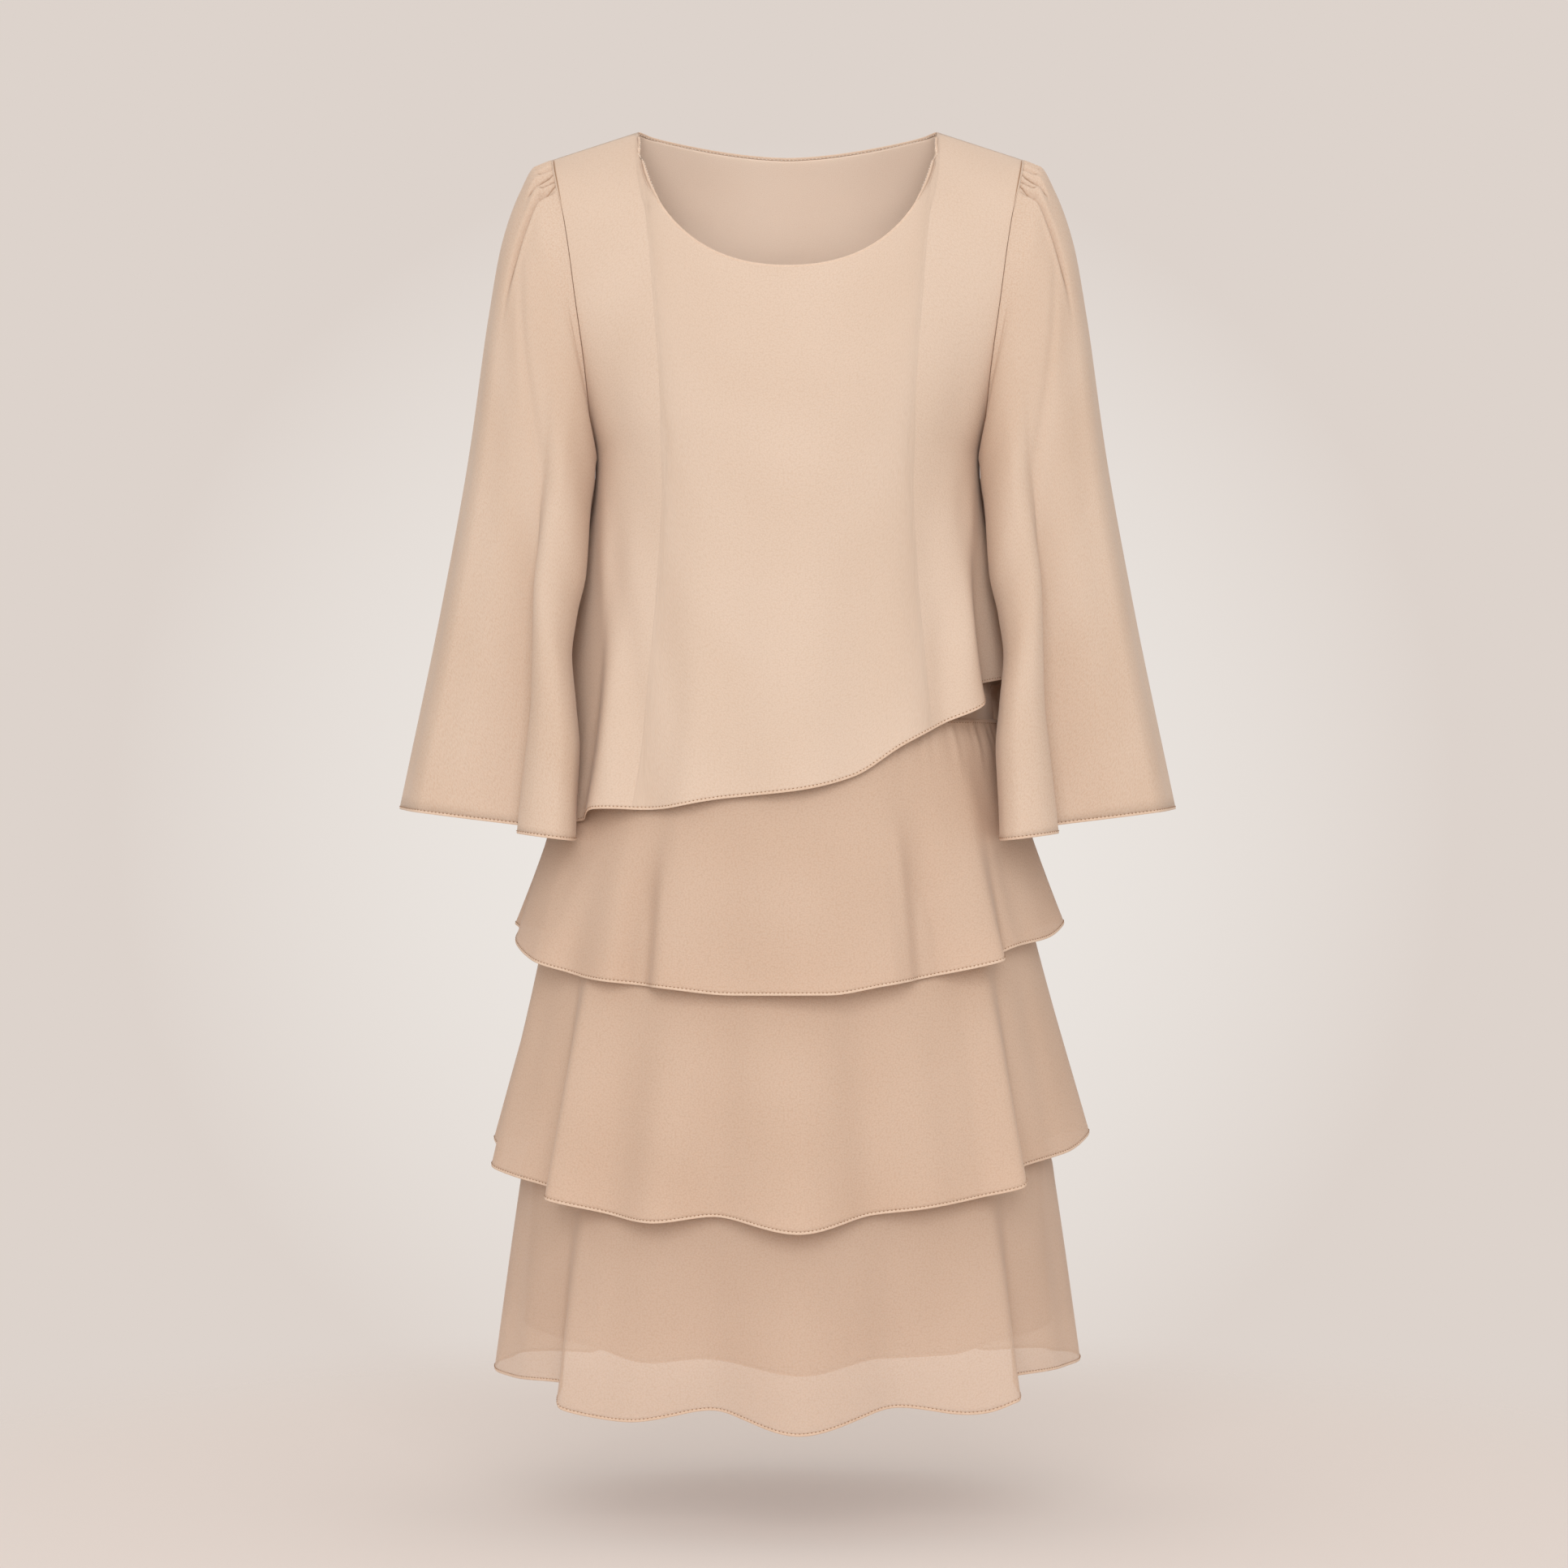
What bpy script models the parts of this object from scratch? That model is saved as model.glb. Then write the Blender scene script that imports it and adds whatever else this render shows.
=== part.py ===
"""Ruffle dress: a pull-on chiffon dress, hollow and filled out as when worn.

A loose outer bodice with a slanted hem hangs over a lining slip, which carries
three gathered tiers. A flared sleeve hangs from each armhole. Metres, +Z up,
the front faces -Y, and the origin lies midway between the shoulder seams.
"""

import math
from functools import partial
from typing import NamedTuple

import bmesh
import bpy
import numpy as np

# Cloth walls and the gaps between pieces
WALL = 0.0012
SEAM_GAP = 0.0003
LINING_GAP = 0.0009
ARMHOLE_GAP = 0.0006
NECK_LINING_EASE = 0.0030
LINING_SETBACK = 0.003
NECK_ROOM_Z = -0.100
NECK_ROOM = 0.050
LAYER_AIR = 0.0025
LAYER_ROUNDING = 0.002
SIDE_SEAM_HALF_GAP = 0.00025
SHOULDER_SEAM_HALF_GAP = 0.0009

# Neck, shoulders and armholes
NECK_X = 0.114
NECK_Z = 0.011
FRONT_NECK_Z = -0.101
BACK_NECK_Z = 0.0
FRONT_NECK_FULLNESS = 2.2
BACK_NECK_FULLNESS = 1.6
SHOULDER_X = 0.182
SHOULDER_Z = -0.011
UNDERARM_Z = -0.235
ARMHOLE_FRONT = 0.058
ARMHOLE_BACK = 0.060

# Roundness of the body's sections at the sides, and how it flattens towards the armholes
SIDE_ROUNDNESS = 0.92
ARMHOLE_FLATNESS = 0.75
FLATTENING_HEIGHT = 0.130
UNDERARM_EASE = 1.2
ARMHOLE_EDGE_REACH = 3

# Steps over which the direction away from the body is measured, and how far seams and edges reach into it
TURN_STEP = 1.0
LEVEL_STEP = 0.004
ARMHOLE_ROOM = 84.0
SEAM_REACH = 0.001

# Rows and columns of the cloth grids, and the distance within which a tube's two edges are one
PANEL_EDGE = 89.99
ARMHOLE_STEPS = 8
OVERLAY_LOWER_ROWS = 5
NECK_COLUMNS = 16
SHOULDER_COLUMNS = 7
TIER_COLUMNS = 48
TIER_ROWS = (0.0, 0.16, 0.58, 1.0)
SLIP_LEVELS = (-0.335, -0.440, -0.570, -0.755)
SLEEVE_LEVELS = (0.0, 0.5, 1.0, 2.0, 3.0, 4.0, 5.0, 5.7, 6.4, 7.0)
CAP_HALF_TURN = 60.0
CAP_COLUMNS = 16
SLEEVE_LOWER_COLUMNS = 22
TOP_PASSES = 12
TUBE_WELD = 1e-5


class Width(NamedTuple):
    height: float
    half_width: float


class Depth(NamedTuple):
    drop: float
    front: float
    back: float


class Hem(NamedTuple):
    angle: float
    height: float


class Wave(NamedTuple):
    """A crest or a trough of cloth: its angle from centre front, and how far out it hangs at the hem."""

    angle: float
    out: float


class Ring(NamedTuple):
    """A slanted section of the sleeve, from its outer point to its inner one."""

    outer_x: float
    outer_z: float
    inner_x: float
    inner_z: float
    front: float
    back: float
    flare: float


class HemPoint(NamedTuple):
    """A point round the flared sleeve hem: the share of the way from outer to inner point, and its depth."""

    turn: float
    share: float
    depth: float


class Tuck(NamedTuple):
    """A gathered tuck of the sleeve cap, which runs down from the armhole seam."""

    turn: float
    out: float
    half_turn: float
    reach: float


class Tier(NamedTuple):
    """A gathered tier: the height of its seam, how fast its waves grow, and its puff below the seam."""

    name: str
    top: float
    growth: float
    puff: float
    hem: tuple
    waves: tuple
    colour: tuple


# Outside of the slip, from above the shoulders to the hem
BODY_WIDTHS = (
    Width(0.060, 0.1805),
    Width(-0.011, 0.1805),
    Width(-0.030, 0.1765),
    Width(-0.060, 0.1690),
    Width(-0.117, 0.1605),
    Width(-0.171, 0.1530),
    Width(-0.212, 0.1490),
    Width(-0.235, 0.1465),
    Width(-0.330, 0.1510),
    Width(-0.440, 0.1600),
    Width(-0.570, 0.1760),
    Width(-0.660, 0.1850),
    Width(-0.755, 0.1940),
    Width(-0.835, 0.2000),
    Width(-0.950, 0.2070),
)
# Half depths at a drop below the shoulder line
BODY_DEPTHS = (
    Depth(0.000, 0.000, 0.000),
    Depth(0.003, 0.014, 0.014),
    Depth(0.010, 0.027, 0.027),
    Depth(0.030, 0.046, 0.049),
    Depth(0.060, 0.064, 0.067),
    Depth(0.100, 0.078, 0.080),
    Depth(0.150, 0.093, 0.093),
    Depth(0.200, 0.106, 0.100),
    Depth(0.250, 0.112, 0.101),
    Depth(0.330, 0.113, 0.101),
    Depth(0.440, 0.118, 0.112),
    Depth(0.570, 0.130, 0.128),
    Depth(0.755, 0.142, 0.141),
    Depth(0.950, 0.151, 0.151),
)

# Hem heights round the body, 0 at centre front and 90 at the wearer's left side
OVERLAY_HEM = (
    Hem(-180, -0.480), Hem(-135, -0.512), Hem(-90, -0.524), Hem(-58, -0.518), Hem(-49, -0.511),
    Hem(-30, -0.509), Hem(-15, -0.501), Hem(2, -0.496), Hem(16, -0.485), Hem(30, -0.461),
    Hem(44, -0.444), Hem(56, -0.431), Hem(66, -0.413), Hem(90, -0.409), Hem(135, -0.433),
)
OVERLAY_WAVES = (
    Wave(-165, 0.022), Wave(-148, 0.013), Wave(-132, 0.026), Wave(-117, 0.008), Wave(-102, 0.018),
    Wave(-90, 0.016), Wave(-75, 0.013), Wave(-60, 0.006), Wave(-48.75, 0.026), Wave(-36, 0.016),
    Wave(-26, 0.022), Wave(-13, 0.014), Wave(3, 0.020), Wave(18, 0.013), Wave(32, 0.018),
    Wave(42, 0.015), Wave(55, 0.032), Wave(65, 0.006), Wave(78, 0.018), Wave(90, 0.020),
    Wave(105, 0.016), Wave(120, 0.024), Wave(135, 0.010), Wave(150, 0.022), Wave(165, 0.012),
    Wave(180, 0.020),
)
OVERLAY_FLARE_TOP = -0.250
OVERLAY_FLARE_END = -0.500
OVERLAY_GROWTH = 1.3

SLIP_HEM = (
    Hem(-180, -0.911), Hem(-120, -0.905), Hem(-90, -0.900), Hem(-60, -0.903), Hem(-44, -0.908),
    Hem(-31, -0.916), Hem(-17, -0.911), Hem(3, -0.923), Hem(20, -0.911), Hem(36, -0.911),
    Hem(50, -0.904), Hem(90, -0.900), Hem(120, -0.905),
)

# The share of a tier's height over which it puffs out below its seam, and the tiers from the top
PUFF_SHARE = 0.15
TIERS = (
    Tier(
        "tier1", -0.440, 1.6, 0.0035,
        (
            Hem(-180, -0.628), Hem(-150, -0.624), Hem(-120, -0.612), Hem(-97, -0.601), Hem(-84, -0.609),
            Hem(-66, -0.624), Hem(-48, -0.635), Hem(-33, -0.639), Hem(-26, -0.641), Hem(-12, -0.645),
            Hem(8, -0.645), Hem(20, -0.639), Hem(30, -0.634), Hem(49, -0.623), Hem(60, -0.613),
            Hem(75, -0.608), Hem(90, -0.599), Hem(120, -0.612), Hem(150, -0.624),
        ),
        (
            Wave(-168, 0.028), Wave(-153, 0.014), Wave(-138, 0.032), Wave(-129, 0.010), Wave(-112, 0.022),
            Wave(-99, 0.031), Wave(-90, 0.022), Wave(-78, 0.026), Wave(-66, 0.026), Wave(-54, 0.014),
            Wave(-42, 0.020), Wave(-33.75, 0.010), Wave(-26.25, 0.024), Wave(-12, 0.017), Wave(5, 0.027),
            Wave(22.5, 0.023), Wave(30, 0.010), Wave(40, 0.021), Wave(48.75, 0.031), Wave(56.25, 0.009),
            Wave(74, 0.020), Wave(90, 0.029), Wave(104, 0.014), Wave(118, 0.024), Wave(129, 0.010),
            Wave(138, 0.032), Wave(155, 0.014), Wave(176, 0.018),
        ),
        (0.72, 0.54, 0.40),
    ),
    Tier(
        "tier2", -0.570, 1.15, 0.0035,
        (
            Hem(-180, -0.798), Hem(-150, -0.790), Hem(-120, -0.775), Hem(-100, -0.768), Hem(-89, -0.776),
            Hem(-76, -0.783), Hem(-57, -0.792), Hem(-48, -0.799), Hem(-27, -0.811), Hem(-15, -0.806),
            Hem(2, -0.817), Hem(17, -0.805), Hem(28, -0.801), Hem(48, -0.790), Hem(57, -0.776),
            Hem(74, -0.770), Hem(90, -0.760), Hem(120, -0.775), Hem(150, -0.790),
        ),
        (
            Wave(-172, 0.030), Wave(-158, 0.014), Wave(-141, 0.038), Wave(-131, 0.010), Wave(-116, 0.024),
            Wave(-100, 0.035), Wave(-89, 0.019), Wave(-77, 0.030), Wave(-56.25, 0.009), Wave(-48.75, 0.040),
            Wave(-37, 0.019), Wave(-27, 0.027), Wave(-15, 0.014), Wave(2, 0.031), Wave(17, 0.014),
            Wave(32, 0.022), Wave(40, 0.021), Wave(48.75, 0.035), Wave(56.25, 0.010), Wave(75, 0.022),
            Wave(90, 0.033), Wave(104, 0.018), Wave(118, 0.030), Wave(131, 0.010), Wave(141, 0.038),
            Wave(160, 0.014), Wave(176, 0.020),
        ),
        (0.69, 0.50, 0.36),
    ),
    Tier(
        "tier3", -0.755, 1.0, 0.0040,
        (
            Hem(-180, -0.944), Hem(-150, -0.948), Hem(-120, -0.940), Hem(-90, -0.936), Hem(-70, -0.937),
            Hem(-53, -0.935), Hem(-45, -0.949), Hem(-31, -0.955), Hem(-15, -0.947), Hem(2, -0.961),
            Hem(22, -0.946), Hem(36, -0.951), Hem(46, -0.944), Hem(54, -0.930), Hem(90, -0.930),
            Hem(120, -0.938), Hem(150, -0.946),
        ),
        (
            Wave(-170, 0.022), Wave(-156, 0.006), Wave(-142, 0.026), Wave(-132, 0.004), Wave(-114, 0.016),
            Wave(-100, 0.010), Wave(-90, 0.012), Wave(-78, 0.015), Wave(-66, 0.010), Wave(-52.5, 0.003),
            Wave(-45, 0.029), Wave(-31, 0.022), Wave(-15, 0.006), Wave(2, 0.026), Wave(22, 0.006),
            Wave(36, 0.021), Wave(45, 0.032), Wave(52.5, 0.003), Wave(68, 0.010), Wave(82, 0.014),
            Wave(92, 0.012), Wave(106, 0.007), Wave(118, 0.017), Wave(132, 0.004), Wave(142, 0.026),
            Wave(158, 0.006), Wave(174, 0.014),
        ),
        (0.66, 0.46, 0.31),
    ),
)

# Sleeve sections from the armhole to the hem, the outer side away from the body
SLEEVE_RINGS = (
    Ring(0.1820, -0.011, 0.1480, -0.235, 0.058, 0.060, 0.0),
    Ring(0.1970, -0.013, 0.1515, -0.246, 0.064, 0.066, 0.0),
    Ring(0.2075, -0.034, 0.1545, -0.263, 0.067, 0.069, 0.04),
    Ring(0.2200, -0.073, 0.1580, -0.287, 0.070, 0.072, 0.14),
    Ring(0.2310, -0.133, 0.1625, -0.322, 0.072, 0.074, 0.34),
    Ring(0.2455, -0.236, 0.1690, -0.364, 0.074, 0.076, 0.60),
    Ring(0.2675, -0.357, 0.1815, -0.428, 0.077, 0.078, 0.82),
    Ring(0.2990, -0.508, 0.2040, -0.520, 0.080, 0.080, 1.0),
)
SLEEVE_HEM = (
    HemPoint(0, 0.00, 0.000), HemPoint(22, 0.06, -0.034), HemPoint(45, 0.24, -0.058),
    HemPoint(66, 0.50, -0.067), HemPoint(82, 0.76, -0.066), HemPoint(92, 0.90, -0.071),
    HemPoint(101, 0.97, -0.094), HemPoint(112, 1.12, -0.107), HemPoint(124, 1.30, -0.110),
    HemPoint(136, 1.46, -0.100), HemPoint(147, 1.40, -0.080), HemPoint(158, 1.16, -0.060),
    HemPoint(169, 1.03, -0.032), HemPoint(180, 1.00, 0.000), HemPoint(198, 1.00, 0.042),
    HemPoint(216, 1.06, 0.078), HemPoint(232, 0.92, 0.098), HemPoint(248, 0.70, 0.086),
    HemPoint(266, 0.50, 0.064), HemPoint(288, 0.32, 0.074), HemPoint(312, 0.14, 0.054),
    HemPoint(338, 0.04, 0.030), HemPoint(360, 0.00, 0.000),
)
CAP_TUCKS = (
    Tuck(-46, 0.0022, 9, 2.2), Tuck(-28, 0.0026, 8, 1.9), Tuck(-12, 0.0022, 7, 1.6),
    Tuck(10, 0.0022, 7, 1.6), Tuck(25, 0.0028, 8, 1.9), Tuck(44, 0.0034, 10, 3.2),
)

# The share of the way to the first sleeve ring over which a cap tuck rises
TUCK_RISE = 0.5

CLOTH_ROUGHNESS = 0.85
OVERLAY_COLOUR = (0.78, 0.60, 0.46)
SLEEVE_COLOUR = (0.74, 0.56, 0.42)
SLIP_COLOUR = (0.64, 0.44, 0.30)


def ease(share):
    share = np.clip(share, 0.0, 1.0)
    return share * share * (3.0 - 2.0 * share)


def through_rows(places, values, at):
    """A smooth curve through table rows that never overshoots them (monotone cubic)."""
    places = np.asarray(places, float)
    values = np.asarray(values, float)
    gaps = np.diff(places)
    slopes = np.diff(values) / gaps
    product = slopes[:-1] * slopes[1:]
    total = slopes[:-1] + slopes[1:]
    inner = np.where(product > 0.0, 2.0 * product / np.where(product > 0.0, total, 1.0), 0.0)
    tangents = np.concatenate([slopes[:1], inner, slopes[-1:]])
    at = np.clip(at, places[0], places[-1])
    index = np.clip(np.searchsorted(places, at, side="right") - 1, 0, len(gaps) - 1)
    t = (at - places[index]) / gaps[index]
    start = values[index]
    end = values[index + 1]
    rise_in = tangents[index] * gaps[index]
    rise_out = tangents[index + 1] * gaps[index]
    return (
        start * (2 * t**3 - 3 * t**2 + 1)
        + rise_in * (t**3 - 2 * t**2 + t)
        + end * (3 * t**2 - 2 * t**3)
        + rise_out * (t**3 - t**2)
    )


def round_rows(rows, angle):
    """The second column of a table whose angles run once round the body."""
    angle = (angle + 180.0) % 360.0 - 180.0
    angles = [row[0] for row in rows]
    values = [row[1] for row in rows]
    angles = [angles[-2] - 360.0, angles[-1] - 360.0, *angles, angles[0] + 360.0, angles[1] + 360.0]
    values = [*values[-2:], *values, *values[:2]]
    return through_rows(angles, values, angle)


def half_width(height):
    rows = BODY_WIDTHS[::-1]
    return through_rows([row.height for row in rows], [row.half_width for row in rows], height)


def shoulder_line(x):
    """Height of the shoulder seam, and of the smooth arch over the neck that continues it."""
    slope = (NECK_Z - SHOULDER_Z) / (SHOULDER_X - NECK_X)
    if abs(x) >= NECK_X:
        return SHOULDER_Z + slope * (SHOULDER_X - abs(x))
    return NECK_Z + slope * (NECK_X - x * x / NECK_X) / 2


def armhole_depth(height, full_depth, near_edge):
    """How far the armhole opens from the side seam at a height, eased into the body away from its edge."""
    middle = (SHOULDER_Z + UNDERARM_Z) / 2
    half_height = (SHOULDER_Z - UNDERARM_Z) / 2
    edge = full_depth * math.sqrt(max(0.0, 1.0 - ((height - middle) / half_height) ** 2))
    if height >= middle:
        return edge
    rise = max(0.0, (height - UNDERARM_Z) / half_height)
    eased = full_depth * math.sin(rise * math.pi / 2) ** UNDERARM_EASE
    return eased + (edge - eased) * near_edge**ARMHOLE_EDGE_REACH


def on_front(angle):
    return math.cos(math.radians(angle)) >= 0.0


def body_point(angle, height):
    """A point on the slip's outside."""
    turn = math.radians(angle)
    front = on_front(angle)
    x = float(half_width(height)) * math.sin(turn)
    below_neck = float(ease((height - UNDERARM_Z) / (FRONT_NECK_Z - UNDERARM_Z)))
    drop = max(0.0, shoulder_line(x) * below_neck - height)
    column = [row.front if front else row.back for row in BODY_DEPTHS]
    depth = float(through_rows([row.drop for row in BODY_DEPTHS], column, drop))
    flatness = SIDE_ROUNDNESS + ARMHOLE_FLATNESS * float(ease((height - UNDERARM_Z) / FLATTENING_HEIGHT))
    towards_middle = abs(math.cos(turn)) ** flatness
    opening = armhole_depth(height, ARMHOLE_FRONT if front else ARMHOLE_BACK, 1.0 - towards_middle)
    edge = min(depth, opening)
    y = edge + (depth - edge) * towards_middle
    return [x, -y if front else y, height]


def outward(angle, height):
    """Direction away from the body, which its front and back panels share where they meet."""
    across = (angle + 90.0) % 180.0 - 90.0
    if height > UNDERARM_Z:
        angle += float(np.clip(across, -ARMHOLE_ROOM, ARMHOLE_ROOM)) - across
    step = 0.5 * LEVEL_STEP
    beside = np.subtract(
        body_point(angle + TURN_STEP, height - step), body_point(angle - TURN_STEP, height - step)
    )
    down = np.subtract(body_point(angle, height - LEVEL_STEP), body_point(angle, height))
    away = np.cross(down, beside)
    at_side_seam = height <= UNDERARM_Z and abs(across) >= PANEL_EDGE
    x = body_point(angle, height)[0]
    at_shoulder_seam = abs(x) >= NECK_X - SEAM_REACH and height >= shoulder_line(x) - SEAM_REACH
    if at_side_seam or at_shoulder_seam:
        away[1] = 0.0
    return away / np.linalg.norm(away)


def layer(angles, heights, offset_of):
    """A grid of cloth over the body: angles across, heights down each column, moved out by its offsets."""
    cloth = np.array([
        [body_point(a, z) + outward(a, z) * offset_of(a, z) for a, z in zip(angles, row)] for row in heights
    ])
    shoulder = ease((cloth[:, :, 2] - NECK_ROOM_Z) / NECK_ROOM)
    half_gap = SIDE_SEAM_HALF_GAP + (SHOULDER_SEAM_HALF_GAP - SIDE_SEAM_HALF_GAP) * shoulder
    cloth[:, :, 1] += -half_gap if on_front(angles[1]) else half_gap
    return cloth


def soft_max(a, b):
    """The larger of two offsets, rounded where they cross."""
    return 0.5 * (a + b + math.sqrt((a - b) ** 2 + LAYER_ROUNDING**2))


def tier_offset(index, angle, height):
    """How far a tier's outside hangs from the slip, clear of any tier under it."""
    tier = TIERS[index]
    hem = float(round_rows(tier.hem, angle))
    share = max(0.0, (tier.top - height) / (tier.top - hem))
    seam = SEAM_GAP + WALL + tier.puff * float(ease(share / PUFF_SHARE))
    offset = seam + float(round_rows(tier.waves, angle)) * share**tier.growth
    if index + 1 < len(TIERS) and height < TIERS[index + 1].top:
        offset = soft_max(offset, tier_offset(index + 1, angle, height) + WALL + LAYER_AIR)
    return offset


def overlay_offset(angle, height):
    share = max(0.0, (OVERLAY_FLARE_TOP - height) / (OVERLAY_FLARE_TOP - OVERLAY_FLARE_END))
    lining_gap = LINING_GAP + NECK_LINING_EASE * float(ease((height - NECK_ROOM_Z) / NECK_ROOM))
    offset = lining_gap + WALL + float(round_rows(OVERLAY_WAVES, angle)) * share**OVERLAY_GROWTH
    if height < TIERS[0].top:
        offset = soft_max(offset, tier_offset(0, angle, height) + WALL + LAYER_AIR)
    return offset


def top_edge(x, front, setback):
    """Height of the shoulder seam, or of the neckline, which is set back on the lining."""
    across = abs(x) / (NECK_X + setback)
    corner = shoulder_line(NECK_X + setback)
    if across >= 1.0:
        return shoulder_line(x)
    if front:
        return corner - (corner + setback - FRONT_NECK_Z) * math.sqrt(1.0 - across**FRONT_NECK_FULLNESS)
    return corner - (corner + setback - BACK_NECK_Z) * (1.0 - across**BACK_NECK_FULLNESS)


def column_top(angle, front, setback):
    """Height at which a panel's column meets its top edge."""
    height = 0.0
    for _ in range(TOP_PASSES):
        x = float(half_width(height)) * math.sin(math.radians(angle))
        height = 0.5 * height + 0.5 * top_edge(x, front, setback)
    return height


def armhole_share(step):
    return (1.0 - math.cos(math.pi * step / ARMHOLE_STEPS)) / 2


def bodice_columns(setback):
    """Angles across a bodice panel, with a column at each neck point and closer ones beside it."""
    neck = math.degrees(math.asin((NECK_X + setback) / float(half_width(NECK_Z))))
    return np.concatenate([
        np.linspace(-PANEL_EDGE, -neck, SHOULDER_COLUMNS + 1)[:-1],
        neck * np.sin(np.radians(np.linspace(-90.0, 90.0, NECK_COLUMNS + 1)))[:-1],
        np.linspace(neck, PANEL_EDGE, SHOULDER_COLUMNS + 1),
    ])


def round_body(across, front):
    """Columns across a panel as angles round the body, the front's from right to left side."""
    return list(across) if front else [180.0 - a for a in across[::-1]]


def bodice_heights(angles, hem_rows, lower_levels, setback):
    """Heights of a bodice panel's grid: the shoulders to the underarm, then on to the hem."""
    columns = []
    for angle in angles:
        front = on_front(angle)
        top = column_top(angle, front, setback)
        hem = float(round_rows(hem_rows, angle))
        upper = [top + (UNDERARM_Z - top) * armhole_share(step) for step in range(ARMHOLE_STEPS + 1)]
        columns.append(upper + lower_levels(hem))
    return np.array(columns).T


def cloth_material(name, colour):
    material = bpy.data.materials.new(name)
    material.use_nodes = True
    shader = material.node_tree.nodes["Principled BSDF"]
    shader.inputs["Base Color"].default_value = (*colour, 1.0)
    shader.inputs["Roughness"].default_value = CLOTH_ROUGHNESS
    shader.inputs["Metallic"].default_value = 0.0
    return material


def cloth_piece(name, grid, colour, collection, tube=False):
    """A sheet laid on a grid of points, rows down and columns across, with its wall turned inwards."""
    grid = np.asarray(grid)
    rows, columns = grid.shape[:2]
    sheet = bmesh.new()
    bmesh.ops.create_grid(sheet, x_segments=columns - 1, y_segments=rows - 1, size=1.0)
    for vertex in sheet.verts:
        column = round((vertex.co.x + 1.0) / 2.0 * (columns - 1))
        row = round((1.0 - vertex.co.y) / 2.0 * (rows - 1))
        vertex.co = grid[row, column]
    if tube:
        bmesh.ops.remove_doubles(sheet, verts=sheet.verts[:], dist=TUBE_WELD)
    bmesh.ops.triangulate(sheet, faces=sheet.faces[:], quad_method="FIXED")
    mesh = bpy.data.meshes.new(name)
    sheet.to_mesh(mesh)
    sheet.free()
    mesh.materials.append(cloth_material(name + "_cloth", colour))
    mesh.shade_smooth()
    piece = bpy.data.objects.new(name, mesh)
    collection.objects.link(piece)
    wall = piece.modifiers.new("wall", "SOLIDIFY")
    wall.thickness = WALL
    wall.offset = -1.0
    wall.use_even_offset = False
    wall.use_quality_normals = True
    return piece


def overlay_levels(hem):
    return list(np.linspace(UNDERARM_Z, hem, OVERLAY_LOWER_ROWS + 1)[1:])


def slip_levels(hem):
    return [*SLIP_LEVELS, hem]


def no_offset(_angle, _height):
    return 0.0


def make_bodice(name, colour, hem_rows, lower_levels, offset_of, setback, collection):
    """The front and back of the overlay or of the slip, whose two grids are returned."""
    grids = []
    for side, front in (("front", True), ("back", False)):
        angles = round_body(bodice_columns(setback), front)
        grid = layer(angles, bodice_heights(angles, hem_rows, lower_levels, setback), offset_of)
        cloth_piece(f"{name}_{side}", grid, colour, collection)
        grids.append(grid)
    return grids


def make_tiers(collection):
    across = np.linspace(-PANEL_EDGE, PANEL_EDGE, TIER_COLUMNS + 1)
    for index, tier in enumerate(TIERS):
        for side, front in (("front", True), ("back", False)):
            angles = round_body(across, front)
            hems = np.array([float(round_rows(tier.hem, angle)) for angle in angles])
            heights = [tier.top + (hems - tier.top) * share for share in TIER_ROWS]
            grid = layer(angles, heights, partial(tier_offset, index))
            cloth_piece(f"{tier.name}_{side}", grid, tier.colour, collection)


def armhole_edge(front_grid, back_grid):
    """The overlay's armhole at the wearer's left, from the shoulder down the front and up the back."""
    front_edge = front_grid[: ARMHOLE_STEPS + 1, -1]
    back_edge = back_grid[ARMHOLE_STEPS::-1, 0]
    return np.concatenate([front_edge, back_edge[1:]]) + np.array([ARMHOLE_GAP, 0.0, 0.0])


def armhole_point(edge, turn):
    """A point on the armhole, 0 at the shoulder, 90 at the front and 180 under the arm."""
    step = (turn % 360.0) / 180.0 * ARMHOLE_STEPS
    return np.array([np.interp(step, np.arange(len(edge)), column) for column in edge.T])


def sleeve_section(level, turn):
    """A point on the sleeve below the armhole, with its place on the flared hem blended in."""
    levels = range(len(SLEEVE_RINGS))
    ring = Ring(*(float(through_rows(levels, column, level)) for column in zip(*SLEEVE_RINGS)))
    turns = [row.turn for row in SLEEVE_HEM]
    hem_share = float(through_rows(turns, [row.share for row in SLEEVE_HEM], turn))
    hem_depth = float(through_rows(turns, [row.depth for row in SLEEVE_HEM], turn))
    radians = math.radians(turn)
    round_share = (1.0 - math.cos(radians)) / 2
    round_depth = -math.sin(radians) * (ring.front if turn <= 180.0 else ring.back)
    share = round_share + (hem_share - round_share) * ring.flare
    depth = round_depth + (hem_depth - round_depth) * ring.flare
    return np.array([
        ring.outer_x + (ring.inner_x - ring.outer_x) * share,
        depth,
        ring.outer_z + (ring.inner_z - ring.outer_z) * share,
    ])


def tuck_height(level, turn):
    """How far the gathers lift the cap, from the seam down to where each tuck fades."""
    signed = turn if turn <= 180.0 else turn - 360.0
    lifted = 0.0
    for tuck in CAP_TUCKS:
        beside = float(ease(1.0 - abs(signed - tuck.turn) / tuck.half_turn))
        along = float(ease(level / TUCK_RISE)) * float(ease(1.0 - level / tuck.reach))
        lifted += tuck.out * beside * along
    return lifted


def sleeve_point(edge, level, turn):
    if level <= 0.0:
        return armhole_point(edge, turn)
    below = max(level, 1.0)
    point = sleeve_section(below, turn)
    if level < 1.0:
        point = armhole_point(edge, turn) * (1.0 - level) + point * level
    middle = (sleeve_section(below, 0.0) + sleeve_section(below, 180.0)) / 2
    away = point - middle
    return point + away / np.linalg.norm(away) * tuck_height(level, turn)


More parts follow.
